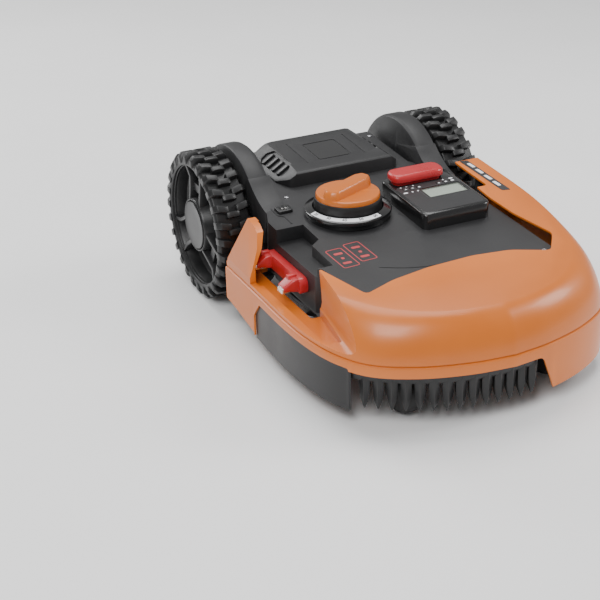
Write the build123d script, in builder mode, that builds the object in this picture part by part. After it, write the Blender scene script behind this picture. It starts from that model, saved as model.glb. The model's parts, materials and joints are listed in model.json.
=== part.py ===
"""Robotic lawn mower: floating shell, chassis, drive wheels, casters and a height-adjusted cutter.

Frame: millimetres, +Z up, -Y is the mower's forward direction, +X is the mower's left side.
The origin lies on the ground under the centre of the mower.
"""

import math
import os

from build123d import *

# ---------------------------------------------------------------- driving dimensions
HALF_WIDTH = 240.0
NOSE_Y = -357.0
WHEEL_R = 122.0
WHEEL_W = 62.0
AXLE_Y = -NOSE_Y - WHEEL_R
AXLE_Z = WHEEL_R

TOP_Z = 186.0  # height of the shell's top plane above the origin
SLOPE = 0.0625  # the top plane rises this much per millimetre towards the rear
CREASE_Z = 103.0  # where the band around the shell meets the dome
LIP_Z = 88.0  # underside of the band over the comb
SKIRT_Z = 32.0  # lowest edge of the shell
WALL = 3.0
BAND_STEP = 2.5  # the band around the shell stands this far proud of the dome
DECK_DROP = 8.0  # the deck lies this far under the shell's top plane
PAN_Z = 78.0  # underside of the chassis
PARTING_Z = 100.0  # where the chassis pan meets the upper deck

SHELL_TRAVEL = 5.0
STOP_TRAVEL = 4.0
KEY_TRAVEL = 0.8

KNOB_X, KNOB_Y = -56.0, 36.0
CASTER_X, CASTER_Y = 120.0, -242.0
CASTER_R, CASTER_W, CASTER_TRAIL = 32.0, 36.0, 16.0
BLADE_Z = 50.0
SPINDLE_R, MOTOR_R, AXLE_R, CASTER_STEM_R, CASTER_PIN_R = 7.9, 20.0, 6.0, 8.0, 3.0
SHAFT_R, BLADE_SCREW_R = 5.0, 3.15
LUGS = 30
FIT = 0.06  # radial clearance of a shaft that turns in its bore

ORANGE_TOP = [(0, -314), (107, -289), (174, -228), (197, -190), (215, -126), (226, -66), (230, 0), (230, 118)]
ORANGE_BASE = [(0, -354), (62, -346), (130, -325), (186, -291), (215, -246), (230, -190), (236, -120), (236, 100)]
OPENING = [
    (-36, -182),
    (36, -182),
    (150, -218),
    (184, -160),
    (166, -80),
    (165, -20),
    (178, 160),
    (-200, 160),
    (-190, 56),
    (-186, -112),
    (-150, -218),
]

os.makedirs("parts", exist_ok=True)


# ---------------------------------------------------------------- helpers
def tilted(drop):
    """The shell's top plane, lowered by drop."""
    top = Plane(origin=(0, 0, TOP_Z), x_dir=(1, 0, 0), z_dir=(0, -SLOPE, 1))
    return top.offset(-drop / math.hypot(1, SLOPE))


def top_z(y, drop=0.0):
    """Height of the lowered top plane at y."""
    return TOP_Z - drop + SLOPE * y


def blend_points(a, b, share):
    """Points part of the way from outline a to outline b."""
    return [(p[0] + (q[0] - p[0]) * share, p[1] + (q[1] - p[1]) * share) for p, q in zip(a, b)]


def inset_points(points, inset):
    """Half an outline moved inwards along its own normals. The first point is on the centre line."""
    moved = []
    last = len(points) - 1
    for i, (x, y) in enumerate(points):
        before, after = points[max(i - 1, 0)], points[min(i + 1, last)]
        along_x, along_y = after[0] - before[0], after[1] - before[1]
        if i == 0:
            along_y = 0.0
        length = math.hypot(along_x, along_y)
        moved.append((x - along_y / length * inset, y + along_x / length * inset))
    moved[-1] = (moved[-1][0], points[-1][1] - inset)
    return moved


def outline(points, stretch=1.0):
    """A closed face: a smooth curve round the front, mirrored about X = 0, and a straight rear edge."""
    whole = [(-x, y) for x, y in reversed(points[1:])] + list(points)
    whole = [(x, y * stretch) for x, y in whole]
    with BuildSketch() as face:
        with BuildLine():
            Spline(*whole)
            Line(whole[-1], whole[0])
        make_face()
    return face.sketch


def save(part, name):
    """Labels a finished piece and writes it."""
    part.label = name
    export_step(part, f"parts/{name}.step")


def dome(inset, drop, bottom_z, band_inset):
    """Solid volume of the shell: skirt and band, then the dome up to the tilted top plane."""
    stretch = math.hypot(1, SLOPE)
    base = inset_points(ORANGE_BASE, inset)
    crest = inset_points(ORANGE_TOP, inset)
    with BuildPart() as volume:
        with BuildSketch(Plane.XY.offset(bottom_z)):
            add(outline(inset_points(ORANGE_BASE, band_inset)))
        extrude(amount=CREASE_Z - bottom_z)
        with BuildSketch(Plane.XY.offset(CREASE_Z - drop)):
            add(outline(base))
        with BuildSketch(Plane(origin=(0, 0, 148 - drop), x_dir=(1, 0, 0), z_dir=(0, -0.62 * SLOPE, 1))):
            add(outline(blend_points(base, crest, 0.36)))
        with BuildSketch(tilted(drop)):
            add(outline(crest, stretch))
        loft(ruled=True)
    return volume.part


def side_prism(points, start_x, end_x):
    """Outline in Y and Z, extruded from one X to another."""
    with BuildPart() as block:
        with BuildSketch(Plane.YZ.offset(start_x)):
            Polygon(*points, align=None)
        extrude(amount=end_x - start_x)
    return block.part


def front_prism(points, start_y, end_y):
    """Outline in X and Z, extruded from one Y to another."""
    with BuildPart() as block:
        with BuildSketch(Plane.XZ.offset(-end_y)):
            Polygon(*points, align=None)
        extrude(amount=end_y - start_y)
    return block.part


def plan_prism(points, low, high):
    """Outline in X and Y, extruded from one height to another."""
    with BuildPart() as block:
        with BuildSketch(Plane.XY.offset(low)):
            Polygon(*points, align=None)
        extrude(amount=high - low)
    return block.part


def scoop(grow):
    """Hollow in the right flank over the charging contacts, enlarged by grow."""
    bay_floor, rail_floor, above = 104 - grow, 117 - grow, 240
    ridge = [(-260 - grow, -262), (-194 + grow, -250 - grow), (-182 + grow, -124 - grow)]
    ridge += [(-150, -124 - grow), (-150, 10 + grow), (-260 - grow, 10 + grow)]
    bay = [(-221 - grow, -225 - grow), (-205 + grow, -235 - grow), (-184 + grow, -120 - grow)]
    bay += [(-150, -120 - grow), (-150, 56 + grow), (-206, 56 + grow), (-221 - grow, 50 + grow)]
    under_wing = [(-226 - grow, bay_floor), (-226 - grow, 135), (-200 - grow, 190), (-190, above)]
    under_wing += [(-150, above), (-150, bay_floor)]
    wing_front = [(-20, rail_floor), (8 + grow, rail_floor), (14 + grow, 163), (30 + grow, 184 - grow)]
    wing_front += [(36 + grow, above), (-20, above)]
    with BuildPart() as volume:
        add(plan_prism(ridge, rail_floor, above))
        add(plan_prism(bay, bay_floor, bay_floor + 30))
        add(front_prism(under_wing, -4, 56 + grow))
        add(side_prism(wing_front, -262, -150))
    return volume.part


def wing_trim(grow):
    """Cutters that lean the right wing inwards and slope its rear edge, moved in by grow."""
    outside = [(-236 + grow, 120), (-211 + grow, 190), (-211 + grow, 240), (-280, 240), (-280, 120)]
    behind = [(66 - grow, 200), (98 - grow, 113), (130, 113), (130, 240), (66 - grow, 240)]
    with BuildPart() as volume:
        add(front_prism(outside, -30, 130))
        add(side_prism(behind, -262, -182))
    return volume.part


def wheel_clearance():
    """Cutter that keeps both rear ends of the shell clear of the drive wheels."""
    reach = WHEEL_R + SHELL_TRAVEL + 5
    with BuildPart() as volume:
        with BuildSketch(Plane.YZ.offset(-HALF_WIDTH - 10)):
            with Locations((AXLE_Y, AXLE_Z)):
                Circle(reach)
        extrude(amount=2 * HALF_WIDTH + 20)
    return volume.part


# ---------------------------------------------------------------- floating shell
def comb_window():
    """Opening in the front skirt that the comb fills."""
    with BuildPart() as volume:
        with BuildSketch(Plane.XZ.offset(200)):
            Polygon((-212, 20), (70, 20), (46, LIP_Z), (-212, LIP_Z), align=None)
        extrude(amount=200)
    return volume.part


def flap_window(margin):
    """Opening in the right skirt that the edge flap fills, on the -X side."""
    with BuildPart() as volume:
        with BuildSketch(Plane.YZ.offset(-260)):
            Polygon(
                (-262, 20),
                (-6 - margin, 20),
                (-6 - margin, 68),
                (-26 - margin, 92 - margin),
                (-262, 92 - margin),
                align=None,
            )
        extrude(amount=70)
    return volume.part


def shell_volume(inset, bottom_z):
    """The dome with the scoop taken out, moved inwards by inset."""
    with BuildPart() as volume:
        add(dome(inset, inset, bottom_z, inset - BAND_STEP))
        add(scoop(inset), mode=Mode.SUBTRACT)
        add(wing_trim(inset), mode=Mode.SUBTRACT)
    return volume.part


def top_shell():
    with BuildPart() as shell:
        add(shell_volume(0, SKIRT_Z))
        add(shell_volume(WALL, SKIRT_Z - 5), mode=Mode.SUBTRACT)
        with BuildSketch(Plane.XY.offset(108)):
            Polygon(*OPENING, align=None)
        extrude(amount=120, mode=Mode.SUBTRACT)
        # everything between the wings, and the slot that the contact block reaches through
        with BuildSketch(Plane.XY.offset(20)):
            with Locations((0, 100)):
                Rectangle(372, 160)
            with Locations((-173, -35)):
                Rectangle(50, 182)
        extrude(amount=200, mode=Mode.SUBTRACT)
        add(comb_window(), mode=Mode.SUBTRACT)
        add(flap_window(0), mode=Mode.SUBTRACT)
        add(wheel_clearance(), mode=Mode.SUBTRACT)
    return shell.part


def skirt_ring(outer, inner, low, high):
    """A wall that follows the shell's outline."""
    with BuildPart() as ring:
        with BuildSketch(Plane.XY.offset(low)):
            add(outline(inset_points(ORANGE_BASE, outer)))
        extrude(amount=high - low)
        with BuildSketch(Plane.XY.offset(low)):
            add(outline(inset_points(ORANGE_BASE, inner)))
        extrude(amount=high - low, mode=Mode.SUBTRACT)
    return ring.part


def edge_flap():
    with BuildPart() as flap:
        add(skirt_ring(-2.2, 1.2, 27, 92))
        add(flap_window(0.3), mode=Mode.INTERSECT)
    return flap.part


def comb_path(x):
    """Plan position of the comb's front face at x."""
    share = abs(x) / 200
    return -347.0 + 67 * share**2 + 17 * share**4


def front_comb():
    """Rail along the lip with a row of pointed fingers."""
    rail = [(x, comb_path(x)) for x in (-198, -150, -100, -50, 0, 40)]
    count, first_x, pitch = 14, 33.0, 19.0
    with BuildPart() as comb:
        with BuildSketch(Plane.XY.offset(LIP_Z - 12)):
            with BuildLine():
                front = Spline(*[(x, y + 1) for x, y in rail])
                back = Spline(*[(x + 2, y + 9) for x, y in reversed(rail)])
                Line(front @ 1, back @ 0)
                Line(back @ 1, front @ 0)
            make_face()
        extrude(amount=12 - 0.3)
        x = first_x
        for _ in range(count):
            slope = (comb_path(x + 1) - comb_path(x - 1)) / 2
            turn = math.degrees(math.atan(slope))
            plane = Plane(origin=(x, comb_path(x) + 1, 0), x_dir=(1, slope, 0), z_dir=(slope, -1, 0))
            with BuildSketch(plane):
                Polygon((-6, 78), (6, 78), (6, 46), (1.5, 33), (-1.5, 33), (-6, 46), align=None)
            extrude(amount=-10)
            x -= pitch * math.cos(math.radians(turn))
    return comb.part


# ---------------------------------------------------------------- chassis
def deck_volume(inset, drop):
    """Upper deck as a solid block, with the step down to the ledge beside the contacts."""
    plan = [
        (-168, -226),
        (168, -226),
        (158, 120),
        (126, 170),
        (126, 312),
        (-126, 312),
        (-126, 170),
        (-158, 120),
        (-181, 60),
        (-181, -104),
        (-172, -112),
    ]
    with BuildPart() as volume:
        with BuildSketch(Plane.XY.offset(PARTING_Z - 2 * inset)) as footprint:
            Polygon(*plan, align=None)
            fillet(footprint.vertices(), 5)
            offset(amount=-inset, mode=Mode.REPLACE)
        extrude(amount=140)
        split(bisect_by=tilted(DECK_DROP + drop), keep=Keep.BOTTOM)
        with BuildSketch(Plane.XY.offset(158 - drop)):
            Polygon(
                (-190, -106 - inset),
                (-154 + inset, -106 - inset),
                (-154 + inset, -38 - inset),
                (-136 + inset, -24 - inset),
                (-136 + inset, 30 + inset),
                (-190, 30 + inset),
                align=None,
            )
        extrude(amount=60, mode=Mode.SUBTRACT)
    return volume.part


def upper_deck():
    with BuildPart() as deck:
        add(deck_volume(0, 0))
        add(deck_volume(WALL, WALL), mode=Mode.SUBTRACT)
        # bearing hole for the height spindle, and the opening under the control pod
        with Locations((KNOB_X, KNOB_Y, 150)):
            Cylinder(SPINDLE_R + FIT, 80, mode=Mode.SUBTRACT)
        with Locations((POD_X, POD_Y, 180)):
            Box(POD_W - 24, POD_L - 24, 60, mode=Mode.SUBTRACT)
        # the wheel arches let into both sides, and the drive motors pass through the walls
        for side in (-1, 1):
            add(arch_block(side, 0.1), mode=Mode.SUBTRACT)
        with Locations(Location((0, AXLE_Y, AXLE_Z), (0, 90, 0))):
            Cylinder(MOTOR_R + 1, 300, mode=Mode.SUBTRACT)
    return deck.part


def pan_plan(inset):
    """Corners of the chassis pan in plan."""
    return [
        (-168 + inset, 68),
        (-168 + inset, -255),
        (-110, -296 + inset),
        (110, -296 + inset),
        (168 - inset, -255),
        (168 - inset, 68),
        (128 - inset, 102),
        (128 - inset, 316 - inset),
        (-128 + inset, 316 - inset),
        (-128 + inset, 102),
    ]


MOUNT_PLACES = [(-88, -266), (88, -266), (-202, 75), (204, 66)]
WING_MOUNT_TOP = 120.0  # the post under the right wing is shorter than the others
BATTERY_Y = 232.0


def chassis_pan():
    with BuildPart() as pan:
        with BuildSketch(Plane.XY.offset(PAN_Z)):
            Polygon(*pan_plan(0), align=None)
        extrude(amount=PARTING_Z - PAN_Z)
        fillet(pan.faces().sort_by(Axis.Z)[0].edges(), 5)
        with BuildSketch(Plane.XY.offset(PAN_Z + WALL)):
            Polygon(*pan_plan(WALL + 1), align=None)
        extrude(amount=PARTING_Z - PAN_Z, mode=Mode.SUBTRACT)
        # arms that carry the two rear rubber mounts
        for x, y in MOUNT_PLACES[2:]:
            with Locations(((x + math.copysign(168, x)) / 2, y, PARTING_Z - 5)):
                Box(abs(x) - 168 + 24, 24, 10)
        # pads under the two front mounts
        for x, y in MOUNT_PLACES[:2]:
            with Locations((x, y, PAN_Z + 11)):
                Cylinder(12, 22)
        # caster bosses
        for side in (-1, 1):
            with Locations((side * CASTER_X, CASTER_Y, 96)):
                Cylinder(16, 36)
            with Locations((side * CASTER_X, CASTER_Y, 90)):
                Cylinder(CASTER_STEM_R + FIT, 60, mode=Mode.SUBTRACT)
        # well for the cutter carriage, and the battery hatch
        with Locations((KNOB_X, KNOB_Y, 90)):
            Cylinder(56, 40)
            Cylinder(52, 60, mode=Mode.SUBTRACT)
        with Locations((0, BATTERY_Y, PAN_Z)):
            Box(104, 140, 20, mode=Mode.SUBTRACT)
        with Locations((0, 0, PAN_Z - 30)):
            Box(600, 800, 60, mode=Mode.SUBTRACT)
    return pan.part


ARCH_INNER_X, ARCH_OUTER_X, ARCH_R = 132.0, 171.0, 123.0


def arch_block(side, grow):
    """Outer volume of the drum beside a wheel and its neck, enlarged by grow."""
    plane = Plane.YZ.offset(ARCH_INNER_X - grow)
    with BuildPart() as block:
        with BuildSketch(plane):
            with Locations((AXLE_Y, AXLE_Z)):
                Circle(ARCH_R + grow)
            Polygon(
                (AXLE_Y - 80, AXLE_Z + 92.5 + grow),
                (142, 205 + grow),
                (128, 198 + grow),
                (114, 192.5 + grow),
                (102 - grow, 189 + grow),
                (102 - grow, 126 - grow),
                (AXLE_Y, 110),
                align=None,
            )
        extrude(amount=ARCH_OUTER_X - ARCH_INNER_X + 2 * grow)
        chamfer(block.faces().sort_by(Axis.X)[0].edges(), 5)
    return block.part if side > 0 else mirror(block.part, Plane.YZ)


def wheel_arch():
    """Hollow drum beside the left wheel that covers the drive gearmotor."""
    with BuildPart() as arch:
        add(arch_block(1, 0))
        add(arch_block(1, -WALL), mode=Mode.SUBTRACT)
        with Locations(Location((0, AXLE_Y, AXLE_Z), (0, 90, 0))):
            Cylinder(9, 400, mode=Mode.SUBTRACT)
            Cylinder(MOTOR_R + 1, 300, mode=Mode.SUBTRACT)
    return arch.part


def rear_housing():
    """Raised cover over the battery bay, with a finger grip on each flank."""

    def volume(inset):
        with BuildPart() as body:
            with BuildSketch(Plane.XY.offset(184 - inset * 3)):
                Polygon(
                    (-92 + inset, 158 + inset),
                    (92 - inset, 158 + inset),
                    (114 - inset, 196),
                    (114 - inset, 304 - inset),
                    (-114 + inset, 304 - inset),
                    (-114 + inset, 196),
                    align=None,
                )
            extrude(amount=80)
            with BuildSketch(Plane.YZ.offset(-130)):
                Polygon(
                    (140, 150),
                    (152 + inset, 205),
                    (158 + inset, 212 - inset),
                    (291 - inset, 220.5 - inset),
                    (299 - inset, 213),
                    (304, 150),
                    align=None,
                )
            extrude(amount=260, mode=Mode.INTERSECT)
            with BuildSketch(Plane.XZ.offset(-320)):
                Polygon(
                    (-118 + inset, 150),
                    (-110 + inset, 192),
                    (-78 + inset, 216),
                    (-78 + inset, 240),
                    (78 - inset, 240),
                    (78 - inset, 216),
                    (110 - inset, 192),
                    (118 - inset, 150),
                    align=None,
                )
            extrude(amount=200, mode=Mode.INTERSECT)
        return body.part

    with BuildPart() as housing:
        add(volume(0))
        split(bisect_by=tilted(DECK_DROP - 0.05), keep=Keep.TOP)
        add(volume(WALL), mode=Mode.SUBTRACT)
        # ribbed grips let into the top edges
        for side in (-1, 1):
            add(grip_recess(side), mode=Mode.SUBTRACT)
    return housing.part


def grip_recess(side):
    """Shallow cutter for the ribbed grip on one top edge of the housing."""
    turn = side * math.degrees(math.atan2(216 - 192, 110 - 78))
    with BuildPart() as recess:
        with Locations(Location((side * 94, 226, 204), (0, turn, 0))):
            Box(28, 84, 3)
            with GridLocations(1, 19, 1, 4):
                Box(22, 7, 3, mode=Mode.SUBTRACT)
    return recess.part


# ---------------------------------------------------------------- controls
POD_X, POD_Y = 80.0, 4.0
POD_W, POD_L, POD_H = 118.0, 142.0, 25.0


def pod_plane(height):
    """A plane parallel to the deck, this far above it."""
    return tilted(DECK_DROP - height)


def control_pod():
    with BuildPart() as pod:
        with BuildSketch(pod_plane(0.05)):
            with Locations((POD_X, POD_Y)):
                RectangleRounded(POD_W, POD_L, 12)
        extrude(amount=POD_H)
        chamfer(pod.faces().sort_by(Axis.Z)[-1].edges(), 1.5)
        with BuildSketch(pod_plane(-1)):
            with Locations((POD_X, POD_Y)):
                RectangleRounded(POD_W - 2 * WALL, POD_L - 2 * WALL, 9)
        extrude(amount=POD_H + 1 - WALL, mode=Mode.SUBTRACT)
        with BuildSketch(pod_plane(POD_H - 10)):
            with Locations((LCD_X, LCD_Y)):
                Rectangle(LCD_W, LCD_L)
            with Locations(*[(x, y) for _, x, y, _, _ in KEYS]):
                Rectangle(9, 7)
        extrude(amount=20, mode=Mode.SUBTRACT)
        with BuildSketch(pod_plane(POD_H - 10)):
            with Locations((STOP_X, STOP_Y)):
                RectangleRounded(STOP_W - 8, STOP_L - 8, 13)
        extrude(amount=20, mode=Mode.SUBTRACT)
    return pod.part


LCD_X, LCD_Y, LCD_W, LCD_L = 96.0, 2.0, 67.0, 31.0
STOP_X, STOP_Y, STOP_W, STOP_L, STOP_H = 75.0, 57.0, 92.0, 36.0, 12.0
KEYS = [
    (name, x, 25.5, 8.0, 6.0)
    for name, x in (
        ("key_up", 40.0),
        ("key_down", 52.0),
        ("key_ok", 64.0),
        ("key_start", 100.0),
        ("key_home", 112.0),
        ("key_power", 124.0),
    )
]


def display_window():
    with BuildPart() as window:
        with BuildSketch(pod_plane(POD_H - 1.6)):
            with Locations((LCD_X, LCD_Y)):
                Rectangle(LCD_W - 0.2, LCD_L - 0.2)
        extrude(amount=1.2)
    return window.part


def display_module():
    with BuildPart() as module:
        with BuildSketch(pod_plane(POD_H - 8)):
            with Locations((LCD_X, LCD_Y)):
                Rectangle(LCD_W - 1, LCD_L - 1)
        extrude(amount=6)
    return module.part


def stop_button():
    with BuildPart() as button:
        with BuildSketch(pod_plane(POD_H + STOP_TRAVEL + 0.6)):
            with Locations((STOP_X, STOP_Y)):
                RectangleRounded(STOP_W, STOP_L, 17)
        extrude(amount=STOP_H)
        fillet(button.faces().sort_by(Axis.Z)[-1].edges(), 4)
        with BuildSketch(pod_plane(POD_H - 7)):
            with Locations((STOP_X, STOP_Y)):
                RectangleRounded(STOP_W - 10, STOP_L - 10, 12)
        extrude(amount=STOP_TRAVEL + 8)
    return button.part


def key(x, y, width, length):
    with BuildPart() as cap:
        with BuildSketch(pod_plane(POD_H - 4)):
            with Locations((x, y)):
                RectangleRounded(width, length, 1)
        extrude(amount=4 + KEY_TRAVEL + 0.4)
    return cap.part


def dial_flange():
    """Fixed ring round the knob, standing on the deck."""
    z = top_z(KNOB_Y, DECK_DROP)
    with BuildPart() as flange:
        with BuildSketch(tilted(DECK_DROP - 0.05)):
            with Locations((KNOB_X, KNOB_Y)):
                Circle(64)
                Circle(56, mode=Mode.SUBTRACT)
        extrude(amount=8)
        with BuildSketch(Plane.XY.offset(z + 6)):
            with Locations((KNOB_X, KNOB_Y)):
                Circle(68)
                Circle(54, mode=Mode.SUBTRACT)
        extrude(amount=9)
        fillet(flange.edges().filter_by(GeomType.CIRCLE).group_by(Axis.Z)[-1].sort_by(SortBy.RADIUS)[-1], 3)
    return flange.part


def dial_scale():
    """Printed arc on the flange that carries the height numbers."""
    z = top_z(KNOB_Y, DECK_DROP)
    with BuildPart() as scale:
        with BuildSketch(Plane.XY.offset(z + 15.05)):
            with Locations((KNOB_X, KNOB_Y)):
                Circle(64)
                Circle(57, mode=Mode.SUBTRACT)
            with BuildLine():
                sweep_line = [
                    (KNOB_X + 90 * math.cos(math.radians(a)), KNOB_Y + 90 * math.sin(math.radians(a)))
                    for a in (180, 210, 240, 270, 300)
                ]
                Polyline((KNOB_X, KNOB_Y), *sweep_line, close=True)
            make_face(mode=Mode.INTERSECT)
        extrude(amount=0.6)
    return scale.part


def knob_pieces():
    z = top_z(KNOB_Y, DECK_DROP) + 15
    with BuildPart() as collar:
        with Locations((KNOB_X, KNOB_Y, z - 8)):
            Cylinder(53.4, 25, align=(Align.CENTER, Align.CENTER, Align.MIN))
        fillet(collar.faces().sort_by(Axis.Z)[-1].edges(), 2)
        with Locations((KNOB_X, KNOB_Y, z + 13)):
            Cylinder(50.3, 20, align=(Align.CENTER, Align.CENTER, Align.MIN), mode=Mode.SUBTRACT)
        with Locations((KNOB_X, KNOB_Y, z - 8)):
            Cylinder(46, 17, align=(Align.CENTER, Align.CENTER, Align.MIN), mode=Mode.SUBTRACT)
        with Locations((KNOB_X, KNOB_Y, z)):
            Cylinder(8, 40, mode=Mode.SUBTRACT)
    with BuildPart() as cap:
        with Locations((KNOB_X, KNOB_Y, z + 13.05)):
            Cylinder(50, 10, align=(Align.CENTER, Align.CENTER, Align.MIN))
        fillet(cap.faces().sort_by(Axis.Z)[-1].edges(), 2)
        grip_plane = Plane(
            origin=(KNOB_X, KNOB_Y, z + 22),
            x_dir=(math.cos(math.radians(23)), math.sin(math.radians(23)), 0),
            z_dir=(0, 0, 1),
        )
        with BuildSketch(grip_plane):
            Polygon((-49, 0), (-44, -12), (26, -12), (38, -7), (38, 7), (26, 12), (-44, 12), align=None)
        extrude(amount=15, taper=14)
    with BuildPart() as spindle:
        with Locations((KNOB_X, KNOB_Y, 130)):
            Cylinder(SPINDLE_R, z + 13 - 130, align=(Align.CENTER, Align.CENTER, Align.MIN))
    return collar.part, cap.part, spindle.part


def rain_sensor():
    with BuildPart() as pad:
        with BuildSketch(tilted(DECK_DROP - 0.05)):
            with Locations((-142, 86)):
                RectangleRounded(24, 22, 3)
        extrude(amount=5)
        chamfer(pad.faces().sort_by(Axis.Z)[-1].edges(), 1.5)
        with BuildSketch(tilted(DECK_DROP - 2)):
            with Locations((-142, 86)):
                Circle(8)
        extrude(amount=10, mode=Mode.SUBTRACT)
    with BuildPart() as pins:
        with BuildSketch(tilted(DECK_DROP - 2.05)):
            with Locations((-145, 86), (-139, 86)):
                Circle(1.8)
        extrude(amount=2.5)
    return pad.part, pins.part


CONTACT_YS = (33.0, -62.0)


def contact_pieces():
    """Charging contacts: a bar on the ledge's side with two arms, each with a metal tip."""
    with BuildPart() as block:
        with Locations((-187.5, -16, 133)):
            Box(12.9, 128, 24)
        fillet(block.edges().filter_by(Axis.X), 6)
        for y in CONTACT_YS:
            with Locations((-204, y, 132)):
                Box(26, 26, 15)
            with Locations((-208, y, 141)):
                Box(14, 22, 5)
    with BuildPart() as tips:
        with Locations(*[(-219, y - 2, 128.6) for y in CONTACT_YS]):
            Box(3.9, 18, 8)
    return block.part, tips.part


# ---------------------------------------------------------------- inside
def main_board():
    with BuildPart() as board:
        with Locations((POD_X, POD_Y, 136)):
            Box(104, 120, 1.6)
        with Locations((80, 20, 141)):
            Box(30, 30, 8.2)
        with Locations((112, -24, 139)):
            Box(16, 40, 4.2)
        with Locations(*[(x, y, 118) for x in (34, 126) for y in (-52, 48)]):
            Cylinder(4, 34.6)
    return board.part


def battery_pack():
    with BuildPart() as pack:
        with Locations((0, BATTERY_Y, 130)):
            Box(76, 120, 72)
        fillet(pack.edges().filter_by(Axis.Y), 8)
        with Locations((0, BATTERY_Y - 52, 170)):
            Box(50, 14, 8)
    return pack.part


def battery_door():
    with BuildPart() as door:
        with Locations((0, BATTERY_Y, PAN_Z + 2)):
            Box(103, 139, 4)
        for x in (-20, 0, 20):
            with Locations((x, BATTERY_Y, PAN_Z + 6)):
                Box(3, 110, 4.2)
        with Locations(*[(x, BATTERY_Y + y, PAN_Z) for x in (-44, 44) for y in (-62, 62)]):
            Cylinder(2.2, 20, mode=Mode.SUBTRACT)
    with BuildPart() as screws:
        with Locations(*[(x, BATTERY_Y + y, PAN_Z) for x in (-44, 44) for y in (-62, 62)]):
            Cylinder(4, 2, align=(Align.CENTER, Align.CENTER, Align.MAX))
            Cylinder(2, 12, align=(Align.CENTER, Align.CENTER, Align.MIN))
    return door.part, screws.part


def gearmotor():
    """Drive motor and its gearbox, on the +X side."""
    with BuildPart() as motor:
        with Locations(Location((0, AXLE_Y, AXLE_Z), (0, 90, 0))):
            with Locations((0, 0, 64)):
                Cylinder(MOTOR_R, 92, align=(Align.CENTER, Align.CENTER, Align.MIN))
            with Locations((0, 0, 137)):
                Cylinder(46, 26, align=(Align.CENTER, Align.CENTER, Align.MIN))
            with Locations((0, 0, 140)):
                Cylinder(AXLE_R + FIT, 40, align=(Align.CENTER, Align.CENTER, Align.MIN), mode=Mode.SUBTRACT)
    return motor.part


def shell_mounts():
    with BuildPart() as mounts:
        for x, y in MOUNT_PLACES:
            low = PARTING_Z + 0.05
            high = WING_MOUNT_TOP if x < -150 else top_z(y, WALL + 1.0)
            with Locations((x, y, low)):
                Cylinder(9, high - low, align=(Align.CENTER, Align.CENTER, Align.MIN))
            for step in (0.35, 0.65):
                with Locations((x, y, low + (high - low) * step)):
                    Torus(9, 1.6, mode=Mode.SUBTRACT)
    return mounts.part


# ---------------------------------------------------------------- cutter
def cutter_pieces():
    with BuildPart() as cradle:
        with Locations((KNOB_X, KNOB_Y, 84)):
            Cylinder(46, 36, align=(Align.CENTER, Align.CENTER, Align.MIN))
            Cylinder(40, 32, align=(Align.CENTER, Align.CENTER, Align.MIN), mode=Mode.SUBTRACT)
        with Locations((KNOB_X, KNOB_Y, 120)):
            Cylinder(14, 45, align=(Align.CENTER, Align.CENTER, Align.MIN))
        with Locations((KNOB_X, KNOB_Y, 117)):
            Cylinder(SPINDLE_R + FIT, 60, align=(Align.CENTER, Align.CENTER, Align.MIN), mode=Mode.SUBTRACT)
        for a in range(3):
            with Locations(Location((KNOB_X, KNOB_Y, 120), (0, 0, 120 * a))):
                with Locations((26, 0, 12)):
                    Box(26, 4, 26)
    with BuildPart() as motor:
        with Locations((KNOB_X, KNOB_Y, 78)):
            Cylinder(39.9, 36, align=(Align.CENTER, Align.CENTER, Align.MIN))
        with Locations((KNOB_X, KNOB_Y, 78)):
            Cylinder(SHAFT_R + FIT, 30, align=(Align.CENTER, Align.CENTER, Align.MIN), mode=Mode.SUBTRACT)
    with BuildPart() as shaft:
        with Locations((KNOB_X, KNOB_Y, 60)):
            Cylinder(14, 12, align=(Align.CENTER, Align.CENTER, Align.MIN))
        with Locations((KNOB_X, KNOB_Y, 60)):
            Cylinder(SHAFT_R, 44, align=(Align.CENTER, Align.CENTER, Align.MIN))
    return cradle.part, motor.part, shaft.part


BLADE_COUNT, BLADE_PIVOT_R = 3, 84.0


def blade_places():
    """Plan position and angle of each blade's pivot."""
    places = []
    for i in range(BLADE_COUNT):
        angle = 90 + 120 * i
        x = KNOB_X + BLADE_PIVOT_R * math.cos(math.radians(angle))
        y = KNOB_Y + BLADE_PIVOT_R * math.sin(math.radians(angle))
        places.append((x, y, angle))
    return places


def blade_disc():
    with BuildPart() as disc:
        with Locations((KNOB_X, KNOB_Y, BLADE_Z + 3)):
            Cylinder(96, 6.95, align=(Align.CENTER, Align.CENTER, Align.MIN))
        fillet(disc.faces().sort_by(Axis.Z)[-1].edges(), 3)
        with BuildSketch(Plane.XY.offset(BLADE_Z)):
            with Locations((KNOB_X, KNOB_Y)):
                with PolarLocations(54, 6, start_angle=30):
                    SlotOverall(34, 14, rotation=90)
        extrude(amount=20, mode=Mode.SUBTRACT)
        for x, y, _ in blade_places():
            with Locations((x, y, BLADE_Z)):
                Cylinder(3.2, 40, mode=Mode.SUBTRACT)
    return disc.part


def blade_screws():
    with BuildPart() as screws:
        for x, y, _ in blade_places():
            with Locations((x, y, BLADE_Z - 3.6)):
                Cylinder(5.5, 2.6, align=(Align.CENTER, Align.CENTER, Align.MIN))
                Cylinder(BLADE_SCREW_R, 14.5, align=(Align.CENTER, Align.CENTER, Align.MIN))
    return screws.part


def skid_plate():
    with BuildPart() as plate:
        with Locations((KNOB_X, KNOB_Y, BLADE_Z - 8)):
            Cylinder(44, 3, align=(Align.CENTER, Align.CENTER, Align.MIN))
            Cylinder(16, 10.95, align=(Align.CENTER, Align.CENTER, Align.MIN))
    return plate.part


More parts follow.
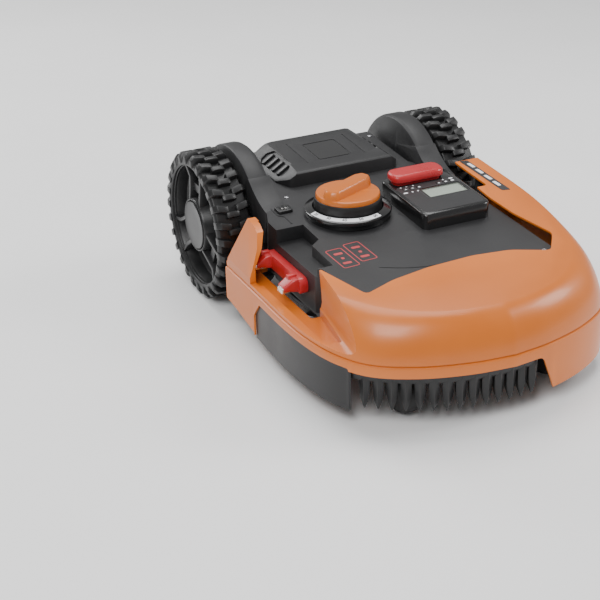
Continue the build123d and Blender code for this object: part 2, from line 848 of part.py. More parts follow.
def blade(x, y, angle):
    plane = Plane(
        origin=(x, y, BLADE_Z - 0.5),
        x_dir=(math.cos(math.radians(angle)), math.sin(math.radians(angle)), 0),
        z_dir=(0, 0, 1),
    )
    with BuildPart() as steel:
        with BuildSketch(plane):
            with Locations((11, 0)):
                RectangleRounded(34, 18, 2)
            Circle(BLADE_SCREW_R + FIT, mode=Mode.SUBTRACT)
        extrude(amount=1)
    return steel.part


# ---------------------------------------------------------------- wheels
def tyre():
    """Ring with three staggered rows of lugs, on the +X side."""
    base_r, inner_x = WHEEL_R - 9, HALF_WIDTH - WHEEL_W
    lug_w = 2 * math.pi * WHEEL_R / LUGS * 0.42
    rows = [(0, 20, 0.0), (20, 42, 0.5), (42, WHEEL_W, 0.0)]
    with BuildPart() as ring:
        for start, end, phase in rows:
            with BuildSketch(Plane.YZ.offset(inner_x + start)):
                with Locations((AXLE_Y, AXLE_Z)):
                    Circle(base_r)
                    with PolarLocations((base_r + WHEEL_R) / 2 - 1, LUGS, start_angle=phase * 360 / LUGS):
                        Rectangle(WHEEL_R - base_r + 2, lug_w)
            extrude(amount=end - start)
        with Locations(Location((HALF_WIDTH - WHEEL_W / 2, AXLE_Y, AXLE_Z), (0, 90, 0))):
            Cylinder(WHEEL_R, WHEEL_W + 4, mode=Mode.INTERSECT)
            Cylinder(98, WHEEL_W + 4, mode=Mode.SUBTRACT)
    return ring.part


def rim():
    """Dished wheel body with three pairs of spokes, on the +X side."""
    centre_x = HALF_WIDTH - WHEEL_W / 2
    with BuildPart() as body:
        with Locations(Location((centre_x, AXLE_Y, AXLE_Z), (0, 90, 0))):
            Cylinder(97.9, WHEEL_W - 8)
            Cylinder(90, WHEEL_W - 4, mode=Mode.SUBTRACT)
        with Locations(Location((centre_x - 6, AXLE_Y, AXLE_Z), (0, 90, 0))):
            Cylinder(90.5, 6)
        with Locations(Location((centre_x, AXLE_Y, AXLE_Z), (0, 90, 0))):
            Cylinder(44, WHEEL_W - 6)
        with BuildSketch(Plane.YZ.offset(centre_x - 9)):
            with Locations((AXLE_Y, AXLE_Z)):
                with PolarLocations(66, 3):
                    with Locations((0, 13), (0, -13)):
                        Rectangle(52, 6)
        extrude(amount=33)
        with BuildSketch(Plane.YZ.offset(centre_x - 20)):
            with Locations((AXLE_Y, AXLE_Z)):
                with PolarLocations(66, 3):
                    Rectangle(32, 18)
        extrude(amount=60, mode=Mode.SUBTRACT)
        with Locations(Location((centre_x, AXLE_Y, AXLE_Z), (0, 90, 0))):
            Cylinder(6.05, WHEEL_W + 20, mode=Mode.SUBTRACT)
            with Locations((0, 0, WHEEL_W / 2 - 7)):
                Cylinder(40.2, 10, align=(Align.CENTER, Align.CENTER, Align.MIN), mode=Mode.SUBTRACT)
    return body.part


def hub_cap():
    with BuildPart() as cap:
        with Locations(Location((0, AXLE_Y, AXLE_Z), (0, 90, 0))):
            with Locations((0, 0, HALF_WIDTH - 6.9)):
                Cylinder(40, 5.4, align=(Align.CENTER, Align.CENTER, Align.MIN))
        chamfer(cap.faces().sort_by(Axis.X)[-1].edges(), 1.5)
    return cap.part


def axle():
    with BuildPart() as shaft:
        with Locations(Location((0, AXLE_Y, AXLE_Z), (0, 90, 0))):
            with Locations((0, 0, 142)):
                Cylinder(AXLE_R, HALF_WIDTH - 7.2 - 142, align=(Align.CENTER, Align.CENTER, Align.MIN))
    return shaft.part


def caster_pieces():
    """Fork, axle and wheel of the +X caster, wheel ahead of the pivot."""
    wheel_y, wheel_z = CASTER_Y - CASTER_TRAIL, CASTER_R
    arm_x = CASTER_W / 2 + 3.2
    with BuildPart() as fork:
        with BuildSketch(Plane.XY.offset(71)):
            with Locations((CASTER_X, CASTER_Y - CASTER_TRAIL / 2)):
                SlotOverall(2 * arm_x + 24, 2 * arm_x - 2, rotation=90)
        extrude(amount=5)
        for side in (-1, 1):
            with BuildSketch(Plane.YZ.offset(CASTER_X + side * arm_x - 2)):
                Polygon(
                    (wheel_y - 9, wheel_z),
                    (wheel_y - 14, 72),
                    (CASTER_Y + 12, 72),
                    (wheel_y + 9, wheel_z),
                    align=None,
                )
                with Locations((wheel_y, wheel_z)):
                    Circle(9)
                    Circle(CASTER_PIN_R + 0.02, mode=Mode.SUBTRACT)
            extrude(amount=4)
        with Locations((CASTER_X, CASTER_Y, 75)):
            Cylinder(CASTER_STEM_R, 42, align=(Align.CENTER, Align.CENTER, Align.MIN))
    with BuildPart() as pin:
        with Locations(Location((CASTER_X, wheel_y, wheel_z), (0, 90, 0))):
            Cylinder(CASTER_PIN_R, 2 * arm_x + 5)
    with BuildPart() as wheel:
        with BuildSketch(Plane.XZ.offset(-wheel_y)):
            with BuildLine():
                half = CASTER_W / 2
                Polyline(
                    (CASTER_X + half, wheel_z + CASTER_PIN_R + FIT),
                    (CASTER_X + half, wheel_z + CASTER_R * 0.62),
                    (CASTER_X + half * 0.86, wheel_z + CASTER_R * 0.84),
                )
                ThreePointArc(
                    (CASTER_X + half * 0.86, wheel_z + CASTER_R * 0.84),
                    (CASTER_X, wheel_z + CASTER_R),
                    (CASTER_X - half * 0.86, wheel_z + CASTER_R * 0.84),
                )
                Polyline(
                    (CASTER_X - half * 0.86, wheel_z + CASTER_R * 0.84),
                    (CASTER_X - half, wheel_z + CASTER_R * 0.62),
                    (CASTER_X - half, wheel_z + CASTER_PIN_R + FIT),
                    (CASTER_X + half, wheel_z + CASTER_PIN_R + FIT),
                )
            make_face()
        revolve(axis=Axis((CASTER_X, wheel_y, wheel_z), (1, 0, 0)))
    return fork.part, pin.part, wheel.part


# ---------------------------------------------------------------- build and write
def main():
    save(top_shell(), "top_shell")
    save(edge_flap(), "edge_flap")
    save(front_comb(), "front_comb")
    save(upper_deck(), "upper_deck")
    save(chassis_pan(), "chassis_pan")
    save(rear_housing(), "rear_housing")
    save(control_pod(), "control_pod")
    save(display_window(), "display_window")
    save(display_module(), "display_module")
    save(stop_button(), "stop_button")
    for name, x, y, width, length in KEYS:
        save(key(x, y, width, length), name)
    save(dial_flange(), "dial_flange")
    save(dial_scale(), "dial_scale")
    for part, name in zip(knob_pieces(), ("knob_collar", "height_knob", "height_spindle")):
        save(part, name)
    for part, name in zip(rain_sensor(), ("rain_sensor", "rain_sensor_pins")):
        save(part, name)
    for part, name in zip(contact_pieces(), ("contact_block", "contact_tips")):
        save(part, name)
    save(main_board(), "main_board")
    save(battery_pack(), "battery_pack")
    for part, name in zip(battery_door(), ("battery_door", "battery_door_screws")):
        save(part, name)
    save(shell_mounts(), "shell_mounts")
    for part, name in zip(cutter_pieces(), ("motor_cradle", "cutter_motor", "motor_shaft")):
        save(part, name)
    save(blade_disc(), "blade_disc")
    save(blade_screws(), "blade_screws")
    save(skid_plate(), "skid_plate")
    for letter, (x, y, angle) in zip("abc", blade_places()):
        save(blade(x, y, angle), f"blade_{letter}")
    fork, pin, roller = caster_pieces()
    sided = {
        "gearmotor": gearmotor(),
        "tyre": tyre(),
        "rim": rim(),
        "hub_cap": hub_cap(),
        "axle": axle(),
        "caster_fork": fork,
        "caster_pin": pin,
        "caster_wheel": roller,
        "wheel_arch": wheel_arch(),
    }
    for name, part in sided.items():
        save(part, f"left_{name}")
        save(mirror(part, Plane.YZ), f"right_{name}")


main()
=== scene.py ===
"""Robotic lawn mower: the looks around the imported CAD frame.

Lengths are in millimetres here, and make_object turns them to metres with MM.
+X is the mower's left flank, -Y its front, and the ground is at Z = 0.
"""

import json
import math

import bmesh
import bpy
from mathutils import Matrix, Vector


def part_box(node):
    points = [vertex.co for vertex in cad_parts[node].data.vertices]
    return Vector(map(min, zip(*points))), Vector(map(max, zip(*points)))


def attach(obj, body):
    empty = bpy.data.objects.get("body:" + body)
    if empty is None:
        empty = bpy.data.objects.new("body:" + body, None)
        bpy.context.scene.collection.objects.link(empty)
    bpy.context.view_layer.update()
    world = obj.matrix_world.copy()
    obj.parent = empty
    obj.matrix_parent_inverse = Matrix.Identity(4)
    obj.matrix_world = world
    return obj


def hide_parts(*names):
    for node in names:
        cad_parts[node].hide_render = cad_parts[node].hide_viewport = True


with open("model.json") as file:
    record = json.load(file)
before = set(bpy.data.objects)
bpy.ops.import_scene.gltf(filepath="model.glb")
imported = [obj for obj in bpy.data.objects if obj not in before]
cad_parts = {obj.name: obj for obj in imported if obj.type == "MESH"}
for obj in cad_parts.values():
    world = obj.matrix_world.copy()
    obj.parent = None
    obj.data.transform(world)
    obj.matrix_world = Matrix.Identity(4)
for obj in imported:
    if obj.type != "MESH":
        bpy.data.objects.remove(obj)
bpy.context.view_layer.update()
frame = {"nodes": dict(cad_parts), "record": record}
nodes = frame["nodes"]

MM = 0.001
TOP_Z, SLOPE = 186.0, 0.0625
TILT = math.atan(SLOPE)
CREASE_Z, BAND_STEP, WALL = 104.0, 2.5, 3.0  # groove over the band, how proud the band is, shell wall
SKIRT_Z, LIP_Z = 32.0, 88.0  # lowest edge of the shell, and its front edge over the comb
DECK_DROP = 8.0  # the deck lies this far under the shell's top plane
WHEEL_R, WHEEL_W, HALF_WIDTH = 122.0, 62.0, 240.0
AXLE_Y, AXLE_Z = 235.0, 122.0
AXLE, X_AXIS, Z_AXIS = (0, AXLE_Y, AXLE_Z), (1, 0, 0), (0, 0, 1)
KNOB_X, KNOB_Y = -56.0, 36.0
POD_X, POD_Y, POD_W, POD_L, POD_H = 80.0, 4.0, 118.0, 142.0, 25.0
STOP_X, STOP_Y, STOP_W, STOP_L = 75.0, 57.0, 92.0, 36.0
LCD_X, LCD_Y = 96.0, 2.0
KEY_XS, KEY_Y = (40, 52, 64, 100, 112, 124), 25.5
CONTACT_YS = (33, -62)

# left half of the shell in plan: the edge of its top, and its widest line just over the band
CREST = [(0, -314), (60, -305), (107, -289), (150, -258), (174, -228)]
CREST += [(197, -190), (215, -126), (226, -66), (230, 0), (230, 118)]
BASE = [(0, -354), (62, -346), (130, -325), (186, -291), (215, -246)]
BASE += [(230, -190), (236, -120), (236, -20), (236, 100)]


# ---------------------------------------------------------------- geometry helpers
def top_z(y, drop=0.0):
    """Height of the shell's top plane at y, lowered by drop."""
    return TOP_Z - drop + SLOPE * y


def catmull(points, steps):
    """A smooth line through the points, with even steps along its length."""
    dense = []
    ends = [(2 * points[0][0] - points[1][0], 2 * points[0][1] - points[1][1])]
    ends.append((2 * points[-1][0] - points[-2][0], 2 * points[-1][1] - points[-2][1]))
    padded = [ends[0], *points, ends[1]]
    for a, b, c, d in zip(padded, padded[1:], padded[2:], padded[3:]):
        for i in range(24):
            t = i / 24
            weights = (-t + 2 * t**2 - t**3, 2 - 5 * t**2 + 3 * t**3, t + 4 * t**2 - 3 * t**3, t**3 - t**2)
            dense.append(tuple(sum(w * p[k] for w, p in zip(weights, (a, b, c, d))) / 2 for k in (0, 1)))
    dense.append(points[-1])
    lengths = [0.0]
    for p, q in zip(dense, dense[1:]):
        lengths.append(lengths[-1] + math.dist(p, q))
    line, j = [], 0
    for i in range(steps + 1):
        target = lengths[-1] * i / steps
        while j < len(dense) - 2 and lengths[j + 1] < target:
            j += 1
        share = (target - lengths[j]) / max(lengths[j + 1] - lengths[j], 1e-9)
        line.append(tuple(dense[j][k] + (dense[j + 1][k] - dense[j][k]) * share for k in (0, 1)))
    return line


def inset_line(line, inset):
    """Half an outline moved inwards along its normals; its first point stays on the centre line."""
    moved, last = [], len(line) - 1
    for i, (x, y) in enumerate(line):
        before, after = line[max(i - 1, 0)], line[min(i + 1, last)]
        dx, dy = after[0] - before[0], (0.0 if i == 0 else after[1] - before[1])
        length = math.hypot(dx, dy)
        moved.append((x - dy / length * inset, y + dx / length * inset))
    return moved


def mirrored_ring(line):
    """Closed ring from the half outline on the +X side."""
    return [(-x, y) for x, y in reversed(line[1:])] + list(line)


def rounded(points, radius, steps=5):
    """Polygon corners rounded by arcs."""
    out, count = [], len(points)
    for i in range(count):
        p, a, b = Vector(points[i]), Vector(points[i - 1]), Vector(points[(i + 1) % count])
        u, v = (a - p), (b - p)
        reach = min(radius, u.length * 0.45, v.length * 0.45)
        start, end = p + u.normalized() * reach, p + v.normalized() * reach
        for k in range(steps + 1):
            t = k / steps
            q = start * (1 - t) ** 2 + p * 2 * t * (1 - t) + end * t**2
            out.append((q.x, q.y))
    return out


def rectangle(x, y, width, length, radius=0.0, steps=6):
    """Rounded rectangle outline about (x, y)."""
    corners = [(-1, -1), (1, -1), (1, 1), (-1, 1)]
    points = [(x + sx * width / 2, y + sy * length / 2) for sx, sy in corners]
    return rounded(points, radius, steps) if radius else points


def make_object(name, verts, faces):
    """Mesh object from corners in millimetres."""
    mesh = bpy.data.meshes.new(name)
    mesh.from_pydata([Vector(v) * MM for v in verts], [], faces)
    mesh.validate()
    obj = bpy.data.objects.new(name, mesh)
    bpy.context.scene.collection.objects.link(obj)
    return obj


def stack(name, rings, closed=False):
    """Surface through closed rings of equal point count, with flat caps, or closed on itself."""
    count = len(rings[0])
    verts = [v for ring in rings for v in ring]
    faces = []
    levels = len(rings)
    for i in range(levels if closed else levels - 1):
        low, high = i * count, (i + 1) % levels * count
        for j in range(count):
            k = (j + 1) % count
            faces.append((low + j, low + k, high + k, high + j))
    if not closed:
        faces.append(tuple(reversed(range(count))))
        faces.append(tuple(range((levels - 1) * count, levels * count)))
    return make_object(name, verts, faces)


class Plane3:
    """A plane in millimetres with its own two axes."""

    def __init__(self, origin, u, v):
        self.origin, self.u, self.v = Vector(origin), Vector(u).normalized(), Vector(v).normalized()
        self.n = self.u.cross(self.v)

    def at(self, a, b, h=0.0):
        """Point at (a, b) on the plane, h in front of it."""
        return self.origin + self.u * a + self.v * b + self.n * h

    def lowered(self, depth):
        """The same plane, this far behind."""
        return Plane3(self.at(0, 0, -depth), self.u, self.v)


def flat(z):
    return Plane3((0, 0, z), (1, 0, 0), (0, 1, 0))


def deck_plane(height):
    """Parallel to the deck and this far above it."""
    return Plane3((0, 0, TOP_Z - (DECK_DROP - height) / math.cos(TILT)), (1, 0, 0), (0, 1, SLOPE))


def side_plane(x):
    """Plane whose axes are Y and Z, facing +X."""
    return Plane3((x, 0, 0), (0, 1, 0), (0, 0, 1))


def front_plane(y):
    """Plane whose axes are X and Z, facing the mower's front."""
    return Plane3((0, y, 0), (1, 0, 0), (0, 0, 1))


def prism(name, outline, plane, height, taper=0.0):
    """Outline raised by height along the plane's normal, shrunk by taper at its top."""
    cx = sum(p[0] for p in outline) / len(outline)
    cy = sum(p[1] for p in outline) / len(outline)

    def shrink(a, b):
        length = math.hypot(a - cx, b - cy) or 1.0
        return a - (a - cx) / length * taper, b - (b - cy) / length * taper

    low = [plane.at(a, b) for a, b in outline]
    high = [plane.at(*shrink(a, b), height) for a, b in outline]
    return stack(name, [low, high] if height > 0 else [high, low])


def revolve(name, profile, origin, axis, steps=96):
    """Closed profile of (distance along the axis, radius) points, turned round the axis."""
    axis = Vector(axis).normalized()
    side = Vector((0, 1, 0)) if abs(axis.y) < 0.9 else Vector((0, 0, 1))
    up = axis.cross(side)
    rings = []
    for i in range(steps):
        a = 2 * math.pi * i / steps
        out = side * math.cos(a) + up * math.sin(a)
        rings.append([Vector(origin) + axis * d + out * r for d, r in profile])
    obj = stack(name, rings, closed=True)
    fix_normals(obj)
    return obj


def fix_normals(obj):
    """Makes every face look outwards."""
    bm = bmesh.new()
    bm.from_mesh(obj.data)
    bmesh.ops.recalc_face_normals(bm, faces=bm.faces)
    bm.to_mesh(obj.data)
    bm.free()


def apply_modifiers(obj):
    """Replaces the mesh by what the modifiers make of it."""
    graph = bpy.context.evaluated_depsgraph_get()
    mesh = bpy.data.meshes.new_from_object(obj.evaluated_get(graph))
    obj.modifiers.clear()
    obj.data = mesh


def combine(obj, other, operation="DIFFERENCE"):
    """Boolean of obj with other, which is used up."""
    modifier = obj.modifiers.new("combine", "BOOLEAN")
    modifier.object, modifier.operation, modifier.solver = other, operation, "EXACT"
    apply_modifiers(obj)
    bpy.data.objects.remove(other)
    return obj


def cut(obj, outline, plane, height):
    """Takes a prism out of obj."""
    cutter = prism("cutter", outline, plane, height)
    fix_normals(cutter)
    return combine(obj, cutter)


def join(name, parts):
    """One object that holds all the parts' meshes."""
    verts, faces = [], []
    for part in parts:
        start = len(verts)
        verts += [v.co / MM for v in part.data.vertices]
        faces += [tuple(start + i for i in face.vertices) for face in part.data.polygons]
        bpy.data.objects.remove(part)
    return make_object(name, verts, faces)


def soften(obj, width, segments=2, angle=30):
    """Rounds the edges sharper than the angle."""
    modifier = obj.modifiers.new("soften", "BEVEL")
    modifier.width, modifier.segments = width * MM, segments
    modifier.limit_method, modifier.angle_limit = "ANGLE", math.radians(angle)
    apply_modifiers(obj)
    return obj


def shade(obj, angle=32):
    """Smooth shading with sharp edges over the angle."""
    obj.data.polygons.foreach_set("use_smooth", [True] * len(obj.data.polygons))
    obj.data.set_sharp_from_angle(angle=math.radians(angle))


def mirror_copy(obj, name):
    """The same mesh on the other side of X = 0."""
    verts = [(-v.co.x / MM, v.co.y / MM, v.co.z / MM) for v in obj.data.vertices]
    faces = [tuple(reversed(f.vertices)) for f in obj.data.polygons]
    return make_object(name, verts, faces)


def place(obj, body, material, replaces=(), angle=32):
    """Finishes a piece: shading, material and body, and hides the CAD parts it replaces."""
    shade(obj, angle)
    obj.data.materials.clear()
    obj.data.materials.append(material)
    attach(obj, body)
    if replaces:
        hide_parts(*replaces)
    return obj


# ---------------------------------------------------------------- materials
def add_node(tree, kind, **inputs):
    """Shader node with some of its inputs set; From_Min stands for the input From Min."""
    node = tree.nodes.new(kind)
    for key, value in inputs.items():
        node.inputs[key.replace("_", " ")].default_value = value
    return node


def surface(
    name, light, dark, roughness, spread=0.06, grain=900.0, grain_depth=0.25,
    patch=14.0, metal=0.0, coat=0.0, scratch=0.0,
):
    """Procedural surface: patchy colour, uneven gloss, moulded grain and a little wear along edges."""
    material = bpy.data.materials.new(name)
    material.use_nodes = True
    tree = material.node_tree
    shader = tree.nodes["Principled BSDF"]
    shader.inputs["Metallic"].default_value = metal
    shader.inputs["Coat Weight"].default_value = coat
    shader.inputs["Coat Roughness"].default_value = 0.12
    shader.inputs["Specular IOR Level"].default_value = 0.5
    link = tree.links.new
    coords = tree.nodes.new("ShaderNodeTexCoord")

    patches = add_node(tree, "ShaderNodeTexNoise", Scale=patch, Detail=4.0, Roughness=0.6)
    link(coords.outputs["Object"], patches.inputs["Vector"])
    colours = tree.nodes.new("ShaderNodeValToRGB")
    colours.color_ramp.elements[0].position = 0.3
    colours.color_ramp.elements[0].color = (*dark, 1)
    colours.color_ramp.elements[1].position = 0.7
    colours.color_ramp.elements[1].color = (*light, 1)
    link(patches.outputs["Fac"], colours.inputs["Fac"])

    geometry = tree.nodes.new("ShaderNodeNewGeometry")
    edges = add_node(tree, "ShaderNodeMapRange", From_Min=0.52, From_Max=0.62, To_Min=0.0, To_Max=0.35)
    link(geometry.outputs["Pointiness"], edges.inputs["Value"])
    worn = tree.nodes.new("ShaderNodeMix")
    worn.data_type = "RGBA"
    worn.inputs["B"].default_value = (*[min(1.0, c * 1.7 + 0.02) for c in light], 1)
    link(edges.outputs["Result"], worn.inputs["Factor"])
    link(colours.outputs["Color"], worn.inputs["A"])
    link(worn.outputs["Result"], shader.inputs["Base Color"])

    grains = add_node(tree, "ShaderNodeTexNoise", Scale=grain, Detail=3.0, Roughness=0.55)
    link(coords.outputs["Object"], grains.inputs["Vector"])
    gloss = add_node(tree, "ShaderNodeMapRange", From_Min=0.3, From_Max=0.7)
    gloss.inputs["To Min"].default_value = max(0.02, roughness - spread)
    gloss.inputs["To Max"].default_value = roughness + spread
    link(patches.outputs["Fac"], gloss.inputs["Value"])
    link(gloss.outputs["Result"], shader.inputs["Roughness"])

    bump = add_node(tree, "ShaderNodeBump", Strength=grain_depth, Distance=0.0002)
    link(grains.outputs["Fac"], bump.inputs["Height"])
    if scratch:
        wave = add_node(tree, "ShaderNodeTexWave", Scale=scratch, Distortion=6.0, Detail=3.0)
        link(coords.outputs["Object"], wave.inputs["Vector"])
        brushed = add_node(tree, "ShaderNodeBump", Strength=0.12, Distance=0.0001)
        link(wave.outputs["Fac"], brushed.inputs["Height"])
        link(brushed.outputs["Normal"], bump.inputs["Normal"])
    link(bump.outputs["Normal"], shader.inputs["Normal"])
    return material


ORANGE = surface(
    "orange_shell", (0.60, 0.150, 0.012), (0.55, 0.132, 0.010),
    0.34, grain=700, grain_depth=0.10, patch=6, coat=0.10,
)
DECK = surface(
    "deck_black", (0.016, 0.016, 0.017), (0.012, 0.012, 0.013),
    0.48, grain=1400, grain_depth=0.45,
)
BLACK = surface(
    "black_plastic", (0.010, 0.010, 0.0105), (0.007, 0.007, 0.0075),
    0.38, grain=1000, grain_depth=0.3,
)
WHEEL = surface(
    "wheel_plastic", (0.013, 0.013, 0.0135), (0.009, 0.009, 0.0095),
    0.36, grain=800, grain_depth=0.25,
)
TREAD = surface("tread", (0.009, 0.009, 0.0095), (0.006, 0.006, 0.0065), 0.42, grain=500, grain_depth=0.5)
GLOSS = surface(
    "gloss_black", (0.008, 0.008, 0.0085), (0.006, 0.006, 0.0065),
    0.18, grain=400, grain_depth=0.04, coat=0.4,
)
PANEL = surface(
    "panel_black", (0.020, 0.020, 0.021), (0.016, 0.016, 0.017),
    0.38, grain=1600, grain_depth=0.3,
)
RED = surface(
    "red_plastic", (0.50, 0.022, 0.026), (0.42, 0.017, 0.021),
    0.32, grain=700, grain_depth=0.12, patch=20, coat=0.15,
)
SILVER = surface(
    "contact_metal", (0.80, 0.78, 0.74), (0.66, 0.64, 0.60),
    0.28, metal=1.0, grain=600, scratch=900,
)
STEEL = surface("steel", (0.55, 0.55, 0.57), (0.42, 0.42, 0.44), 0.32, metal=1.0, grain=500, scratch=700)
CAN = surface("motor_can", (0.30, 0.31, 0.33), (0.22, 0.23, 0.25), 0.40, metal=0.6, grain=500)
SCREEN = surface("screen", (0.30, 0.34, 0.29), (0.26, 0.30, 0.25), 0.30, grain=300, grain_depth=0.03)
PRINT = surface("white_print", (0.80, 0.81, 0.84), (0.74, 0.75, 0.78), 0.5, grain=900, grain_depth=0.1)
RED_PRINT = surface(
    "red_print", (0.42, 0.035, 0.040), (0.34, 0.028, 0.032),
    0.5, grain=900, grain_depth=0.1,
)
DARK_PRINT = surface(
    "dark_print", (0.02, 0.02, 0.022), (0.015, 0.015, 0.016),
    0.5, grain=900, grain_depth=0.1,
)
BOARD = surface("circuit_board", (0.03, 0.16, 0.07), (0.02, 0.11, 0.05), 0.4, grain=300, patch=60)
RUBBER = surface(
    "soft_rubber", (0.020, 0.020, 0.020), (0.014, 0.014, 0.014),
    0.62, grain=600, grain_depth=0.5,
)
KEY = surface("key_cap", (0.050, 0.050, 0.052), (0.042, 0.042, 0.044), 0.45, grain=1500, grain_depth=0.3)


def glass_material():
    """Clear window with a faint tint of the display under it."""
    light, dark = (0.42, 0.46, 0.41), (0.38, 0.42, 0.37)
    material = surface("window", light, dark, 0.12, spread=0.02, grain=200, grain_depth=0.01)
    material.node_tree.nodes["Principled BSDF"].inputs["Alpha"].default_value = 0.18
    return material


WINDOW = glass_material()


# ---------------------------------------------------------------- floating shell
STATIONS = 110  # points along half the shell's outline
DOME_STEPS = 20
ROUNDNESS = 0.8  # share of a quarter ellipse in the dome's section; the rest is a straight slope


def dome_rings(inset, drop, bottom_z, band_inset, groove):
    """Rings of the shell's volume from the underside of the skirt to the flat top."""
    base = inset_line(catmull(BASE, STATIONS), inset)
    crest = inset_line(catmull(CREST, STATIONS), inset)
    band = inset_line(catmull(BASE, STATIONS), band_inset)
    low_z = CREASE_Z - drop * 0.3

    def ring(line, height):
        return [Vector((x, y, height(x, y))) for x, y in mirrored_ring(line)]

    rings = [ring(band, lambda x, y: bottom_z), ring(band, lambda x, y: low_z - 2.4)]
    rings.append(ring(inset_line(band, 0.5), lambda x, y: low_z - 0.9))
    rings.append(ring(inset_line(band, 1.6), lambda x, y: low_z - 0.2))
    if groove:
        rings.append(ring(inset_line(base, 1.2), lambda x, y: low_z + 0.3))
        rings.append(ring(inset_line(base, 1.1), lambda x, y: low_z + 1.3))
    for i in range(DOME_STEPS + 1):
        w = i / DOME_STEPS * math.pi / 2
        out = (1 - ROUNDNESS) * (i / DOME_STEPS) + ROUNDNESS * (1 - math.cos(w))
        rise = (1 - ROUNDNESS) * (i / DOME_STEPS) + ROUNDNESS * math.sin(w)
        line = [(b[0] + (c[0] - b[0]) * out, b[1] + (c[1] - b[1]) * out) for b, c in zip(base, crest)]
        zs = [low_z + 2 + (top_z(c[1], drop) - low_z - 2) * rise for c in crest]
        whole = mirrored_ring(line)
        heights = list(reversed(zs[1:])) + zs
        rings.append([Vector((x, y, z)) for (x, y), z in zip(whole, heights)])
    return rings


def scoop_cutters(grow):
    """Cutters for the hollow over the contacts and for the faces of the right wing."""
    rings = []
    for z, fillet in ((111, 16), (112.5, 10), (115, 5.5), (119, 2.4), (126, 0.5), (140, 0), (250, 0)):
        lean = (170 - z) * 0.075 + grow
        level = z - grow if z < 112 else z
        front_x, back_x = -203 + lean - fillet, -184 + lean - fillet
        ridge = [(-300, -300), (front_x, -268 - grow), (back_x, -122 - grow + fillet)]
        ridge += [(-150, -122 - grow + fillet), (-150, 10 + grow), (-300, 10 + grow)]
        rings.append([Vector((x, y, level)) for x, y in ridge])
    bay = [(-221 - grow, -205), (-200, -225 - grow), (-184 + grow, -118 - grow), (-148, -118 - grow)]
    bay += [(-148, 56 + grow), (-221 - grow, 56 + grow)]
    under_wing = [(-226 - grow, 104 - grow), (-226 - grow, 135), (-200 - grow, 190)]
    under_wing += [(-190, 240), (-148, 240), (-148, 104 - grow)]
    front = [(-30, 111 - grow), (2 + grow, 112), (9 + grow, 126), (14 + grow, 163)]
    front += [(28 + grow, 183), (46 + grow, 189), (52 + grow, 240), (-30, 240)]
    outside = [(-236.5 + grow, 118), (-211 + grow, 190), (-211 + grow, 240), (-290, 240), (-290, 118)]
    behind = [(66 - grow, 200), (98 - grow, 113), (130, 113), (130, 240), (66 - grow, 240)]
    cutters = [stack("ridge_cut", rings), prism("bay", rounded(bay, 3), flat(104 - grow), 40)]
    cutters.append(prism("under_wing", under_wing, front_plane(56 + grow), 60))
    cutters.append(prism("wing_front", front, side_plane(-300), 152))
    cutters.append(prism("wing_outside", outside, front_plane(130), 135))
    cutters.append(prism("wing_behind", behind, side_plane(-300), 118))
    for cutter in cutters:
        fix_normals(cutter)
    return cutters


def shell_solid(inset, bottom_z, groove):
    """The shell as a full block, moved in by inset."""
    body = stack("shell_solid", dome_rings(inset, inset, bottom_z, inset - BAND_STEP, groove))
    fix_normals(body)
    for cutter in scoop_cutters(inset):
        combine(body, cutter)
    return body


# outline of the opening over the deck, anticlockwise from the front
OPENING = [(-40, -182), (36, -178), (96, -186), (150, -212), (184, -166), (168, -84)]
OPENING += [(165, -20), (178, 160), (178, 400), (-198, 400), (-198, 56), (-198, 20), (-184, -118), (-156, -214), (-104, -194)]


def shell_piece():
    """Hollow shell with its openings for the deck, contacts, comb, flap and wheels."""
    shell = shell_solid(0, SKIRT_Z, True)
    combine(shell, shell_solid(WALL, SKIRT_Z - 10, False))
    opening = prism("opening", rounded(OPENING, 9, 6), flat(107), 200)
    gap = prism("gap", rectangle(0, 110, 372, 182, 6), flat(0), 300)
    slot = prism("slot", rectangle(-173, -34, 52, 182, 4), flat(60), 200)
    comb_outline = [(-216, 0), (84, 0), (47, LIP_Z), (-216, LIP_Z)]
    comb = prism("comb", rounded(comb_outline, 8), front_plane(-150), 260)
    flap_outline = [(-262, 0), (-6, 0), (-6, 66), (-27, 92), (-262, 92)]
    flap = prism("flap", rounded(flap_outline, 4), side_plane(-280), 110)
    wing = prism("wing", [(-5, 0), (180, 0), (180, 60), (60, 46), (-5, 36)], side_plane(-280), 110)
    wheel_well = [(-260, 0.5), (260, 0.5), (260, WHEEL_R + 10), (-260, WHEEL_R + 10)]
    wheel = revolve("wheel", wheel_well, AXLE, X_AXIS)
    for cutter in (opening, gap, slot, comb, flap, wing, wheel):
        fix_normals(cutter)
        combine(shell, cutter)
    return place(shell, "shell", ORANGE, ["top_shell"], 30)


def wing_label():
    """Plain dark strip let into the top of the left wing."""
    plane = deck_plane(DECK_DROP)
    frame_outline = rounded([(197, -8), (211, -12), (208, 116), (194, 118)], 3)
    strip = prism("wing_strip", frame_outline, deck_plane(DECK_DROP - 0.6), 1.0, 0.4)
    place(strip, "shell", DARK_PRINT)
    bars = []
    for i in range(4):
        y = 8 + 26 * i
        corners = [(200.5, y), (206.5, y), (205.5, y + 18), (199.5, y + 18)]
        bars.append(prism("bar", rounded(corners, 1.5), plane, 0.7, 0.3))
    place(join("wing_strip_bars", bars), "shell", PRINT)


# ---------------------------------------------------------------- comb
def comb_front(x):
    """Y of the comb's front face at x; it follows the lip of the shell."""
    share = abs(x) / 200
    return -346.0 + 67 * share**2 + 17 * share**4


# height, half width, how far the keel comes forward, and depth of a comb finger, from top to tip
FINGER_LEVELS = [(LIP_Z - 3, 8.2, 0.0, 12), (70, 8.0, -1.0, 13), (52, 7.4, -3.0, 13)]
FINGER_LEVELS += [(42, 5.6, -2.2, 11), (33, 2.6, 1.5, 8), (27, 0.7, 4.5, 6)]
FINGER_PITCH = 19.0


